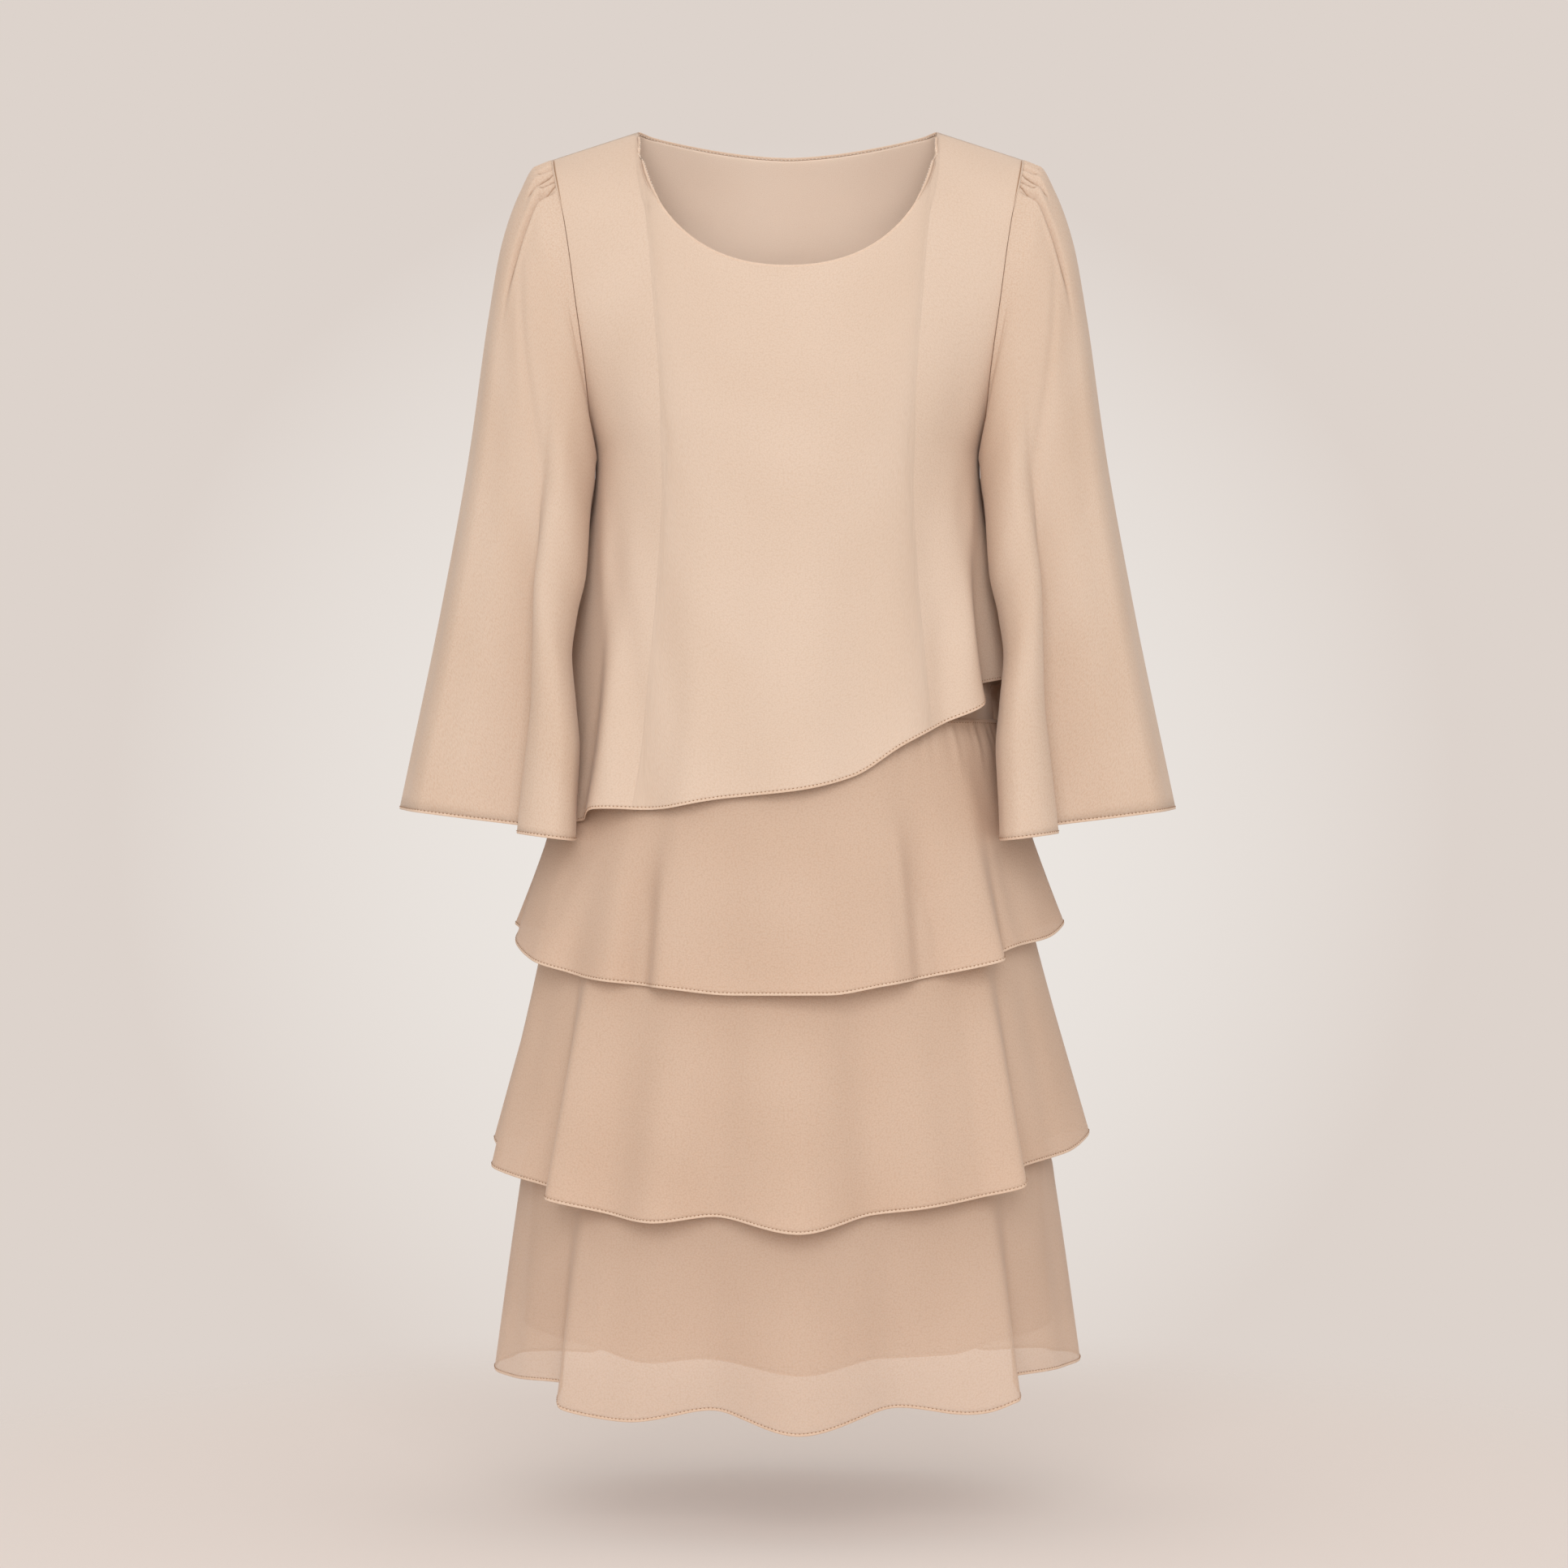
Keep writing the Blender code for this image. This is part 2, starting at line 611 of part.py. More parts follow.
def make_sleeves(edge, collection):
    cap = np.linspace(-CAP_HALF_TURN, CAP_HALF_TURN, CAP_COLUMNS + 1)
    lower = np.linspace(CAP_HALF_TURN, 360.0 - CAP_HALF_TURN, SLEEVE_LOWER_COLUMNS + 1)[1:]
    turns = np.concatenate([cap, lower]) % 360.0
    left = np.array([[sleeve_point(edge, level, turn) for turn in turns] for level in SLEEVE_LEVELS])
    right = left * np.array([-1.0, 1.0, 1.0])
    cloth_piece("sleeve_left", left[:, ::-1], SLEEVE_COLOUR, collection, tube=True)
    cloth_piece("sleeve_right", right, SLEEVE_COLOUR, collection, tube=True)


def main():
    for item in list(bpy.data.objects):
        bpy.data.objects.remove(item, do_unlink=True)
    collection = bpy.data.collections.new("ruffle_dress")
    bpy.context.scene.collection.children.link(collection)
    make_bodice("slip", SLIP_COLOUR, SLIP_HEM, slip_levels, no_offset, LINING_SETBACK, collection)
    make_tiers(collection)
    overlay = make_bodice(
        "overlay", OVERLAY_COLOUR, OVERLAY_HEM, overlay_levels, overlay_offset, 0.0, collection
    )
    make_sleeves(armhole_edge(*overlay), collection)


main()
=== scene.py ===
"""Ruffle dress: the looks of a pull-on chiffon dress, hollow and filled out as when worn.

Each cut piece is a thin shell of crepe chiffon or lining on the form of its solid, with a rolled
and stitched hem. Metres, +Z up, the front faces -Y, and the origin lies midway between the
shoulder seams.
"""

import math
from functools import cache, partial
from typing import NamedTuple, NewType

import bpy
import numpy as np
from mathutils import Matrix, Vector


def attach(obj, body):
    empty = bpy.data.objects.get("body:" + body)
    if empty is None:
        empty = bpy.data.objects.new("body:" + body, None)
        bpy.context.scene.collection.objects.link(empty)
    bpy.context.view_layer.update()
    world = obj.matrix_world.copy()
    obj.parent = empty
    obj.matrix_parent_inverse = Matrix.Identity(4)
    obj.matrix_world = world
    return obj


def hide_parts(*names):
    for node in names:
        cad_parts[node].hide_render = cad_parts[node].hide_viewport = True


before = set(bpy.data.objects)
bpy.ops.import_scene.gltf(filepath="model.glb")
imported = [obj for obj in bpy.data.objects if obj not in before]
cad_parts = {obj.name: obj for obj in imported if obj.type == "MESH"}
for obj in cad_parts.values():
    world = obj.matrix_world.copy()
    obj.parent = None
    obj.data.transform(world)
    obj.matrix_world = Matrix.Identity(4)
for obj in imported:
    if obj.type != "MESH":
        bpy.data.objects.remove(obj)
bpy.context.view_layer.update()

bl_info = {
    "name": "Ruffle Dress",
    "version": (1, 0, 0),
    "blender": (4, 5, 0),
    "location": "View3D > Sidebar > Dress",
    "description": "Builds a chiffon ruffle dress over its packed solids",
    "category": "Object",
}

# Walls, and the gaps between layers and at the seams
WALL = 0.0012
BODICE_WALL = 0.0006
SEAM_GAP = 0.0003
SEAM_HALF_GAP = 0.00012
ARMHOLE_GAP = 0.0004
LAYER_AIR = 0.0025
LAYER_ROUNDING = 0.002

# The lining lies a little deeper, except near the neck
LINING_GAP = 0.0006
LINING_DROP = 0.0015
LINING_SETBACK = 0.0016
NECK_LINING_EASE = 0.0012
NECK_LINING_SHARE = 0.9
NECK_ROOM_Z = -0.100
NECK_ROOM = 0.050

# Neck, shoulders and armholes
NECK_X = 0.114
NECK_Z = 0.011
FRONT_NECK_Z = -0.101
BACK_NECK_Z = 0.0
FRONT_NECK_FULLNESS = 2.2
BACK_NECK_FULLNESS = 1.6
SHOULDER_X = 0.182
SHOULDER_Z = -0.011
UNDERARM_Z = -0.235
ARMHOLE_FRONT = 0.058
ARMHOLE_BACK = 0.060

# Roundness of the body's sections at the sides, and how it flattens towards the armholes
SIDE_ROUNDNESS = 0.92
ARMHOLE_FLATNESS = 0.75
FLATTENING_HEIGHT = 0.130
UNDERARM_EASE = 1.2
ARMHOLE_EDGE_REACH = 3

# Steps over which the direction away from the body is measured, and how far seams and edges reach into it
TURN_STEP = 1.0
LEVEL_STEP = 0.004
ARMHOLE_ROOM = 84.0
SEAM_REACH = 0.001

# Where the cloth is evened out: above a height on the shoulders, and near the underarm
RELAXED_Z = -0.055
RELAXED_FADE = 0.030
UNDERARM_SPREAD = 0.016
RELAX_STEP = 0.5
RELAX_PASSES = 40

# Rows and columns of the cloth grids
PANEL_EDGE = 89.99
ARMHOLE_ROWS = 48
LOWER_ROWS = 72
NECK_COLUMNS = 64
SHOULDER_COLUMNS = 52
TIER_COLUMNS = 220
TIER_ROWS = 52
CAP_HALF_TURN = 60.0
CAP_COLUMNS = 160
CAP_END = 2.0
UNDER_COLUMNS = 120
CAP_ROWS = 44
SLEEVE_ROWS = 58
TOP_PASSES = 14

# How creases start and end, as shares of their length, on the body and on the sleeves
CREASE_START = 0.45
CREASE_LEAN = 1.2
SLEEVE_CREASE_START = 0.5
SLEEVE_CREASE_LEAN = 1.1
CREASE_END = 1.5
CREASE_FADE = 0.5
# Angles near the armhole at which the bodice's creases fade out
CREASE_EDGE = 86.0
CREASE_EDGE_FADE = 20.0
# Tight creases get painted shade, darker and warmer: the columns over which they are measured, their scale,
# and the painted shade's tone
CREASE_COLUMNS = 2
TIGHT_CREASE = 0.0040
PAINTED_CREASE_SHADE = (0.55, 0.42, 0.32)

# Puckers below a gathered seam: their height, and the shares of the tier at which they start and end
PUCKER_HEIGHT = 0.0004
PUCKER_START = 0.05
PUCKER_END = 0.3

# Flutes at the inner edge of a sleeve, as turns round it
FRONT_FLUTE_TURN = 132.0
BACK_FLUTE_TURN = 222.0
FLUTE_HALF_TURN = 44.0
FLUTE_DROP = 0.0060
FLUTE_START = 91.0
FLUTE_RISE = 9.0
FLUTE_END = 178.0
FLUTE_FADE = 22.0
TUCK_LIFT = 0.6
TUCK_START = 0.10
CAP_SEAM = 0.04

# Room between the sleeves and the bodice, and the angles, depths and heights at which it is measured
SLEEVE_ROOM = 0.0020
ROOM_ANGLES = (25.0, 155.0, 131)
ROOM_DEPTHS = (-0.12, 0.12, 97)
ROOM_HEIGHTS = (-0.235, -0.545, 63)
ROOM_OVERLAP = 0.004
ROOM_TOP = -0.238
ROOM_FADE = 0.012
ROOM_EVEN_ROWS = 3
HEM_ROOM = 0.02
HEM_ROOM_FADE = 0.01

# Rolled hems and rows of stitches, as shares of the hem's height, and the edge of the neck
HEM_CENTRE = 0.42
HEM_STITCHES = 0.82
STITCH_SINK = 0.0001
SEAM_STITCH_DISTANCE = 0.003
NECK_ROLL_HEIGHT = 0.0028
NECK_ROLL_THICKNESS = 0.0016
NECK_ROLL_LIFT = -0.0007
NECK_STITCH_DISTANCE = 0.0014
NECK_STITCH_LIFT = -0.0017
PALE_THREAD = "FBEDE0"
STITCH_LEAN = 0.10
THINNEST_STITCH = (0.86, 0.9, 0.9)

# Lining and thread: the width of the lining's drawn grain, its sheerness, and one turn of the thread's twist
LINING_SHADE = "E4CAB5"
LINING_GRAIN = 0.0006
LINING_OPENNESS = 0.02
LINING_GLOW = 0.2
TWIST = 0.00035

# The camera is level with the middle of the photograph
CAMERA_X = -0.0028
CAMERA_Z = -0.489
CAMERA_LENS = 89.4
SENSOR_WIDTH = 36.0
FLOOR_GLOW = 0.42
FLOOR_SIDES = 96
# The pulp's flecks are about 2 mm across
PULP_SCALE = 500.0
LAMP_COLOUR = (1.0, 0.99, 0.98)
ROOM_COLOUR = (1.0, 0.955, 0.90, 1.0)
GLOW_WAY = (0.0, 1.0, -0.007)
GLOW_EDGE = 0.9855
SIDES = (("front", True), ("back", False))

Metres = NewType("Metres", float)


def rows(kind, *table):
    """The rows of a table, whose lengths are written in millimetres and kept in metres."""
    scales = [1000.0 if unit is Metres else 1.0 for unit in kind.__annotations__.values()]
    return tuple(kind(*(value / scale for value, scale in zip(row, scales))) for row in table)


class Cut(NamedTuple):
    """A piece of cloth as cut: its width and length, and its area in square metres."""

    width: float
    length: float
    area: float


class Width(NamedTuple):
    height: Metres
    half_width: Metres


class Depth(NamedTuple):
    drop: Metres
    front: Metres
    back: Metres


class Hem(NamedTuple):
    angle: float
    height: Metres


class Wave(NamedTuple):
    """A crest or a trough of cloth: its angle from centre front, and how far out it hangs at the hem."""

    angle: float
    out: Metres


class Ring(NamedTuple):
    """A slanted section of the sleeve, from its outer point to its inner one."""

    outer_x: Metres
    outer_z: Metres
    inner_x: Metres
    inner_z: Metres
    front: Metres
    back: Metres
    flare: float


class HemPoint(NamedTuple):
    """A point round the flared sleeve hem: the share of the way from outer to inner point, and its depth."""

    turn: float
    share: float
    depth: Metres


class Tuck(NamedTuple):
    """A gathered tuck of the sleeve cap: its turn, height and half turn, and how far down it runs."""

    turn: float
    out: Metres
    half_turn: float
    reach: float


class Shift(NamedTuple):
    """How far the inner flutes of a sleeve are moved towards the body at a level."""

    level: float
    front: Metres
    back: Metres


class Crease(NamedTuple):
    """A soft ridge or, with a negative rise, a trough of the body's cloth, by angle and height."""

    from_turn: float
    from_level: Metres
    to_turn: float
    to_level: Metres
    half_turn: float
    rise: Metres


class SleeveCrease(NamedTuple):
    """A soft ridge or trough of a sleeve, by turn round it and level down it."""

    from_turn: float
    from_level: float
    to_turn: float
    to_level: float
    half_turn: float
    rise: Metres


class Pucker(NamedTuple):
    """Small waves round the body: how many, their share of the height, and their shift from tier to tier."""

    count: float
    height: float
    shift: float


class Tier(NamedTuple):
    """A gathered tier: the height of its seam, how fast its waves grow, and its puff below the seam."""

    name: str
    top: float
    growth: float
    puff: float
    hem: tuple
    waves: tuple


class Finish(NamedTuple):
    """Chiffon on one kind of piece. Openness is the gaps in its weave, and glow the light through it."""

    name: str
    colour: str
    shade: str
    openness: float
    glow: float


class Lamp(NamedTuple):
    place: tuple
    target: tuple
    size: float


# Outside of the slip, from above the shoulders to the hem
BODY_WIDTHS = rows(
    Width,
    (60, 180.5), (-11, 180.5), (-30, 176.5), (-60, 169), (-117, 160.5), (-171, 153), (-212, 149),
    (-235, 146.5), (-330, 151), (-440, 160), (-570, 176), (-660, 185), (-755, 194), (-835, 200), (-950, 207),
)
# Half depths at a drop below the shoulder line
BODY_DEPTHS = rows(
    Depth,
    (0, 0, 0), (3, 14, 14), (10, 27, 27), (30, 46, 49), (60, 64, 67), (100, 78, 80), (150, 93, 93),
    (200, 106, 100), (250, 112, 101), (330, 113, 101), (440, 118, 112), (570, 130, 128), (755, 142, 141),
    (950, 151, 151),
)

# Hem heights round the body, 0 at centre front and 90 at the wearer's left side
OVERLAY_HEM = rows(
    Hem,
    (-180, -480), (-135, -512), (-90, -524), (-58, -518), (-49, -511), (-30, -509), (-15, -501), (2, -496),
    (16, -485), (30, -461), (44, -444), (56, -431), (66, -413), (90, -409), (135, -433),
)
OVERLAY_WAVES = rows(
    Wave,
    (-165, 22), (-148, 13), (-132, 26), (-117, 8), (-102, 18), (-90, 16), (-75, 13), (-60, 9), (-48.75, 26),
    (-36, 16), (-26, 22), (-13, 14), (3, 20), (18, 13), (32, 18), (42, 15), (55, 32), (65, 6), (78, 18),
    (90, 20), (105, 16), (120, 24), (135, 10), (150, 22), (165, 12), (180, 20),
)
OVERLAY_FLARE_TOP = -0.250
OVERLAY_FLARE_END = -0.500
OVERLAY_GROWTH = 1.3

SLIP_HEM = rows(
    Hem,
    (-180, -911), (-120, -905), (-90, -900), (-60, -903), (-44, -908), (-31, -916), (-17, -911), (3, -923),
    (20, -911), (36, -911), (50, -904), (90, -900), (120, -905),
)

# The share of a tier's height over which it puffs out below its seam, and the tiers from the top
PUFF_SHARE = 0.15
TIERS = (
    Tier(
        "tier1", -0.44, 1.6, 0.0035,
        rows(
            Hem,
            (-180, -628), (-150, -624), (-120, -612), (-97, -601), (-84, -609), (-66, -624), (-48, -635),
            (-33, -639), (-26, -641), (-12, -645), (8, -645), (20, -639), (30, -634), (49, -623), (60, -613),
            (75, -608), (90, -599), (120, -612), (150, -624),
        ),
        rows(
            Wave,
            (-168, 28), (-153, 14), (-138, 32), (-129, 10), (-112, 22), (-99, 31), (-90, 22), (-78, 26),
            (-66, 26), (-54, 14), (-42, 20), (-33.75, 10), (-26.25, 24), (-12, 17), (5, 27), (22.5, 23),
            (30, 10), (40, 21), (48.75, 31), (56.25, 9), (74, 20), (90, 29), (104, 14), (118, 24), (129, 10),
            (138, 32), (155, 14), (176, 18),
        ),
    ),
    Tier(
        "tier2", -0.57, 1.15, 0.0035,
        rows(
            Hem,
            (-180, -798), (-150, -790), (-120, -775), (-100, -768), (-89, -776), (-76, -783), (-57, -792),
            (-48, -799), (-27, -811), (-15, -806), (2, -817), (17, -805), (28, -801), (48, -790), (57, -776),
            (74, -770), (90, -760), (120, -775), (150, -790),
        ),
        rows(
            Wave,
            (-172, 30), (-158, 14), (-141, 38), (-131, 10), (-116, 24), (-100, 35), (-89, 19), (-77, 30),
            (-56.25, 9), (-48.75, 40), (-37, 19), (-27, 27), (-15, 14), (2, 31), (17, 14), (32, 22), (40, 21),
            (48.75, 35), (56.25, 10), (75, 22), (90, 33), (104, 18), (118, 30), (131, 10), (141, 38),
            (160, 14), (176, 20),
        ),
    ),
    Tier(
        "tier3", -0.755, 1.0, 0.004,
        rows(
            Hem,
            (-180, -944), (-150, -948), (-120, -940), (-90, -936), (-70, -937), (-53, -935), (-45, -949),
            (-31, -955), (-15, -947), (2, -961), (22, -946), (36, -951), (46, -944), (54, -930), (90, -930),
            (120, -938), (150, -946),
        ),
        rows(
            Wave,
            (-170, 22), (-156, 6), (-142, 26), (-132, 4), (-114, 16), (-100, 10), (-90, 12), (-78, 15),
            (-66, 10), (-52.5, 3), (-45, 29), (-31, 22), (-15, 6), (2, 26), (22, 6), (36, 21), (45, 32),
            (52.5, 3), (68, 10), (82, 14), (92, 12), (106, 7), (118, 17), (132, 4), (142, 26), (158, 6),
            (174, 14),
        ),
    ),
)
PUCKERS = rows(Pucker, (67, 1.0, 1.0), (43, 0.7, 2.1), (101, 0.5, 3.3))

# Sleeve sections from the armhole to the hem, the outer side away from the body
SLEEVE_RINGS = rows(
    Ring,
    (182, -11, 148, -235, 58, 60, 0), (194, -13.5, 151.5, -246, 64, 66, 0),
    (206.2, -34, 154.5, -263, 67, 69, 0.04), (220, -73, 158, -287, 70, 72, 0.14),
    (231, -133, 162.5, -322, 72, 74, 0.34), (245.5, -236, 169, -364, 74, 76, 0.6),
    (267.5, -357, 181.5, -428, 77, 78, 0.82), (299, -508, 204, -520, 80, 80, 1),
)
SLEEVE_HEM = rows(
    HemPoint,
    (0, 0, 0), (22, 0.06, -34), (45, 0.24, -58), (66, 0.5, -67), (82, 0.86, -64), (90, 1.02, -68),
    (96, 1.01, -81), (103, 0.99, -93), (112, 1.1, -109), (124, 1.29, -114), (135, 1.42, -104),
    (144, 1.455, -85), (151, 1.36, -70), (159, 1.14, -56), (169, 1.03, -32), (180, 1, 0), (198, 1, 42),
    (216, 1.06, 78), (232, 0.92, 98), (248, 0.7, 86), (266, 0.5, 64), (288, 0.32, 74), (312, 0.14, 54),
    (338, 0.04, 30), (360, 0, 0),
)
# The sleeve's inner edges bear on the bodice below the armhole, then the front one swings clear of it
FLUTE_SHIFTS = rows(
    Shift,
    (0.4, 0, 0), (0.8, 6, 0), (1.5, 10, 4), (2, 10.5, 7), (2.6, 9.2, 8.5), (3.2, 8, 10.5), (3.8, 4.6, 13),
    (4.4, -5, 16), (5, -11, 18.5), (5.6, -8, 21.5), (6, -4.5, 22.5), (6.4, -2, 18), (7, 3.5, 4),
)
# Creases of the outer bodice: drag lines from the armholes, then long falls towards the hem
OVERLAY_CREASES = rows(
    Crease,
    (-62, -170, -40, -350, 9, -1.8), (63, -150, 42, -330, 9, -1.6), (-72, -235, -47, -470, 5, 3),
    (72, -235, 52, -400, 5, 3), (-55, -300, -36, -500, 5, -3.2), (-29, -370, -29, -520, 5, -3.5),
    (-14, -330, -13, -510, 8, -1.8), (48, -330, 44, -450, 4, -1.8), (20, -300, 24, -480, 8, -1.4),
    (4, -120, 2, -300, 14, 1.2), (-38, -100, -52, -230, 10, 1), (38, -100, 53, -230, 10, 1),
    (118, -150, 138, -330, 7, -2.4), (-118, -150, -140, -320, 7, -2.4), (165, -260, 160, -470, 7, -2.4),
    (-170, -230, -165, -490, 8, 2.2), (-128, -280, -126, -500, 6, -2.8), (128, -270, 124, -430, 6, -2.6),
    (180, -60, 178, -230, 12, 1.4), (146, -300, 148, -440, 5, 2), (-90, -270, -90, -400, 15, 5),
    (90, -270, 90, -400, 15, 5),
)
# Creases of each tier, gathered at its seam and opening towards its hem
TIER_CREASES = (
    rows(
        Crease,
        (-37, -520, -35.5, -640, 4.4, -4.8), (-30.5, -530, -29.5, -642, 2.2, 3.2),
        (27, -500, 27.5, -640, 2.2, 3), (33.5, -490, 33.5, -640, 4.2, -4.8), (-52, -520, -61, -630, 4.5, 3),
        (-14, -470, -16, -640, 5, -2.2), (12, -480, 13, -620, 7, -1.6), (52, -460, 60, -625, 4, 2.8),
        (-98, -470, -104, -610, 5, -3), (100, -470, 106, -600, 5, -3), (146, -470, 148, -620, 4, -3),
        (-146, -490, -150, -620, 4, -3.2), (170, -480, 168, -628, 5, -2.2), (-172, -480, -176, -628, 6, 2.2),
    ),
    rows(
        Crease,
        (-14, -600, -14.5, -800, 4.5, -3), (14, -600, 17, -800, 4.5, -3), (-32, -620, -35, -800, 5, -1.6),
        (33, -620, 35, -800, 5, -1.6), (-50, -610, -52, -790, 3, 2.2), (50, -610, 51, -790, 3, 2.2),
        (-68, -600, -72, -785, 5, -2.4), (67, -600, 70, -775, 5, -2.4), (-96, -600, -98, -770, 4, -2.8),
        (98, -600, 101, -765, 5, -2.8), (-150, -600, -152, -790, 4, -3), (152, -600, 154, -790, 4, -3),
        (-176, -620, -178, -795, 6, -2), (168, -620, 166, -795, 6, 2.2),
    ),
    rows(
        Crease,
        (-18, -790, -15, -945, 5, -2.6), (20, -790, 22, -945, 5, -2.6), (-34, -790, -37, -950, 4, -1.8),
        (34, -790, 30, -950, 4, -1.8), (-47, -780, -47, -945, 3, 2.2), (47, -780, 47, -945, 3, 2.2),
        (-70, -780, -72, -935, 5, -2.2), (72, -780, 74, -930, 5, -2.2), (-100, -780, -102, -930, 5, -2.4),
        (104, -780, 106, -935, 5, -2.4), (-152, -780, -156, -940, 5, -2.4), (154, -780, 158, -940, 5, -2.4),
        (178, -790, 176, -942, 7, -1.8), (2, -800, 2, -955, 6, 1.6),
    ),
)
SLEEVE_CREASES = rows(
    SleeveCrease,
    (54, 2.4, 60, 6.9, 17, -2), (44, 2.1, 94, 4.3, 7, -2.2), (34, 1.6, 42, 6.6, 10, 3),
    (92, 2.4, 96, 7, 8, -1.8), (118, 3.2, 118, 7, 9, 2.2), (16, 2.2, 20, 6.9, 9, -2.2),
    (322, 1.4, 318, 6.9, 10, -3.4), (300, 1, 292, 6.8, 9, 2.8), (272, 2, 266, 7, 8, -3),
    (214, 2.6, 218, 7, 9, 2.2), (150, 4, 146, 7, 8, -1.6), (180, 0.3, 180, 2.2, 40, 3),
    (39, -0.45, 43.5, 2.4, 2.6, -5.8), (42.5, -0.45, 48, 2.2, 2.4, 1.8), (27.5, -0.4, 31, 1.1, 2, -4.6),
    (22.5, -0.4, 24, 0.5, 1.8, -4), (32, -0.4, 34.5, 0.6, 1.8, -4.4), (35.5, -0.4, 39, 0.7, 1.5, -4),
    (16, -0.4, 16, 0.6, 2, -3.6), (10, -0.25, 10, 0.8, 2, -3.4), (1, -0.2, 1, 0.5, 1.8, -3),
    (352, -0.25, 351, 0.9, 2, -3.6), (343, -0.2, 342, 0.6, 1.8, -3.4), (334, -0.3, 330, 1.3, 2.4, -4.4),
    (322, -0.3, 314, 1.7, 2.8, -4.4),
)
# Gathers at the top of each sleeve: short tucks that fan out from the seam
CAP_GATHERS = rows(
    Tuck,
    (-57, 1.2, 6, 1.4), (-45, 2, 6, 2.4), (-34, 2.2, 5, 1.9), (-25, 2, 4.5, 1.5), (-16, 1.8, 4.5, 1.3),
    (-7, 1.4, 4, 1), (2, 1.4, 4, 1), (11, 1.8, 4, 1.2), (19.5, 2.4, 4, 1.5), (28, 2.8, 4.5, 2), (38, 3, 5, 3),
    (50, 1.4, 6, 1.6),
)

FINISHES = {
    "bodice": Finish("crepe chiffon, outer bodice", "bodice_colour", "E0C6B0", 0.04, 0.18),
    "sleeve": Finish("crepe chiffon, sleeves", "sleeve_colour", "DDBFA6", 0.05, 0.22),
    "tier": Finish("crepe chiffon, tiers", "tier_colour", "DCBDA4", 0.14, 0.22),
    "lowest": Finish("crepe chiffon, lowest tier", "lowest_colour", "E0C5AF", 0.40, 0.24),
    "hem": Finish("crepe chiffon, rolled hem", "tier_colour", "DCBDA4", 0.0, 0.10),
}
LAMPS = {
    "key": Lamp((-0.1, -3.7, 0.9), (0.0, 0.0, -0.45), 2.6),
    "overhead": Lamp((0.0, 0.1, 3.2), (0.0, 0.0, -0.6), 2.0),
    "reflector": Lamp((0.0, -1.5, -0.32), (0.0, 0.06, -0.04), 0.5),
}


def ease(share):
    share = np.clip(share, 0.0, 1.0)
    return share * share * (3.0 - 2.0 * share)


def through_rows(places, values, at):
    """A smooth curve through table rows that never overshoots them (monotone cubic)."""
    places, values = np.asarray(places, float), np.asarray(values, float)
    gaps = np.diff(places)
    slopes = np.diff(values) / gaps
    product = slopes[:-1] * slopes[1:]
    total = slopes[:-1] + slopes[1:]
    inner = np.where(product > 0.0, 2.0 * product / np.where(product > 0.0, total, 1.0), 0.0)
    tangents = np.concatenate([slopes[:1], inner, slopes[-1:]])
    at = np.clip(at, places[0], places[-1])
    index = np.clip(np.searchsorted(places, at, side="right") - 1, 0, len(gaps) - 1)
    t = (at - places[index]) / gaps[index]
    return (
        values[index] * (2 * t**3 - 3 * t**2 + 1)
        + tangents[index] * gaps[index] * (t**3 - 2 * t**2 + t)
        + values[index + 1] * (3 * t**2 - 2 * t**3)
        + tangents[index + 1] * gaps[index] * (t**3 - t**2)
    )


def read_table(table, column, at):
    """A column of a table at places in its first column."""
    return through_rows([row[0] for row in table], [getattr(row, column) for row in table], at)


def wrapped(angles):
    return (angles + 180.0) % 360.0 - 180.0


def from_middle(angles):
    """Angles from the middle of the front or the back, whichever is nearer."""
    return (angles + 90.0) % 180.0 - 90.0


def round_table(table, angles):
    """The second column of a table whose angles run once round the body."""
    places = [row[0] for row in table]
    values = [row[1] for row in table]
    places = [places[-2] - 360.0, places[-1] - 360.0, *places, places[0] + 360.0, places[1] + 360.0]
    return through_rows(places, [*values[-2:], *values, *values[:2]], wrapped(angles))


def half_width(heights):
    return read_table(BODY_WIDTHS[::-1], "half_width", heights)


def shoulder_line(x):
    """Height of the shoulder seam, and of the smooth arch over the neck that continues it."""
    slope = (NECK_Z - SHOULDER_Z) / (SHOULDER_X - NECK_X)
    x = np.abs(x)
    seam = SHOULDER_Z + slope * (SHOULDER_X - x)
    return np.where(x >= NECK_X, seam, NECK_Z + slope * (NECK_X - x * x / NECK_X) / 2)


def armhole_depth(heights, full_depth, near_edge):
    """How far the armhole opens from the side seam at a height, eased into the body away from its edge."""
    middle = (SHOULDER_Z + UNDERARM_Z) / 2
    half_height = (SHOULDER_Z - UNDERARM_Z) / 2
    edge = full_depth * np.sqrt(np.maximum(0.0, 1.0 - ((heights - middle) / half_height) ** 2))
    rise = np.clip((heights - UNDERARM_Z) / half_height, 0.0, 1.0)
    eased = full_depth * np.sin(rise * math.pi / 2) ** UNDERARM_EASE
    return np.where(heights >= middle, edge, eased + (edge - eased) * near_edge**ARMHOLE_EDGE_REACH)


def on_front(angles):
    return np.cos(np.radians(angles)) >= 0.0


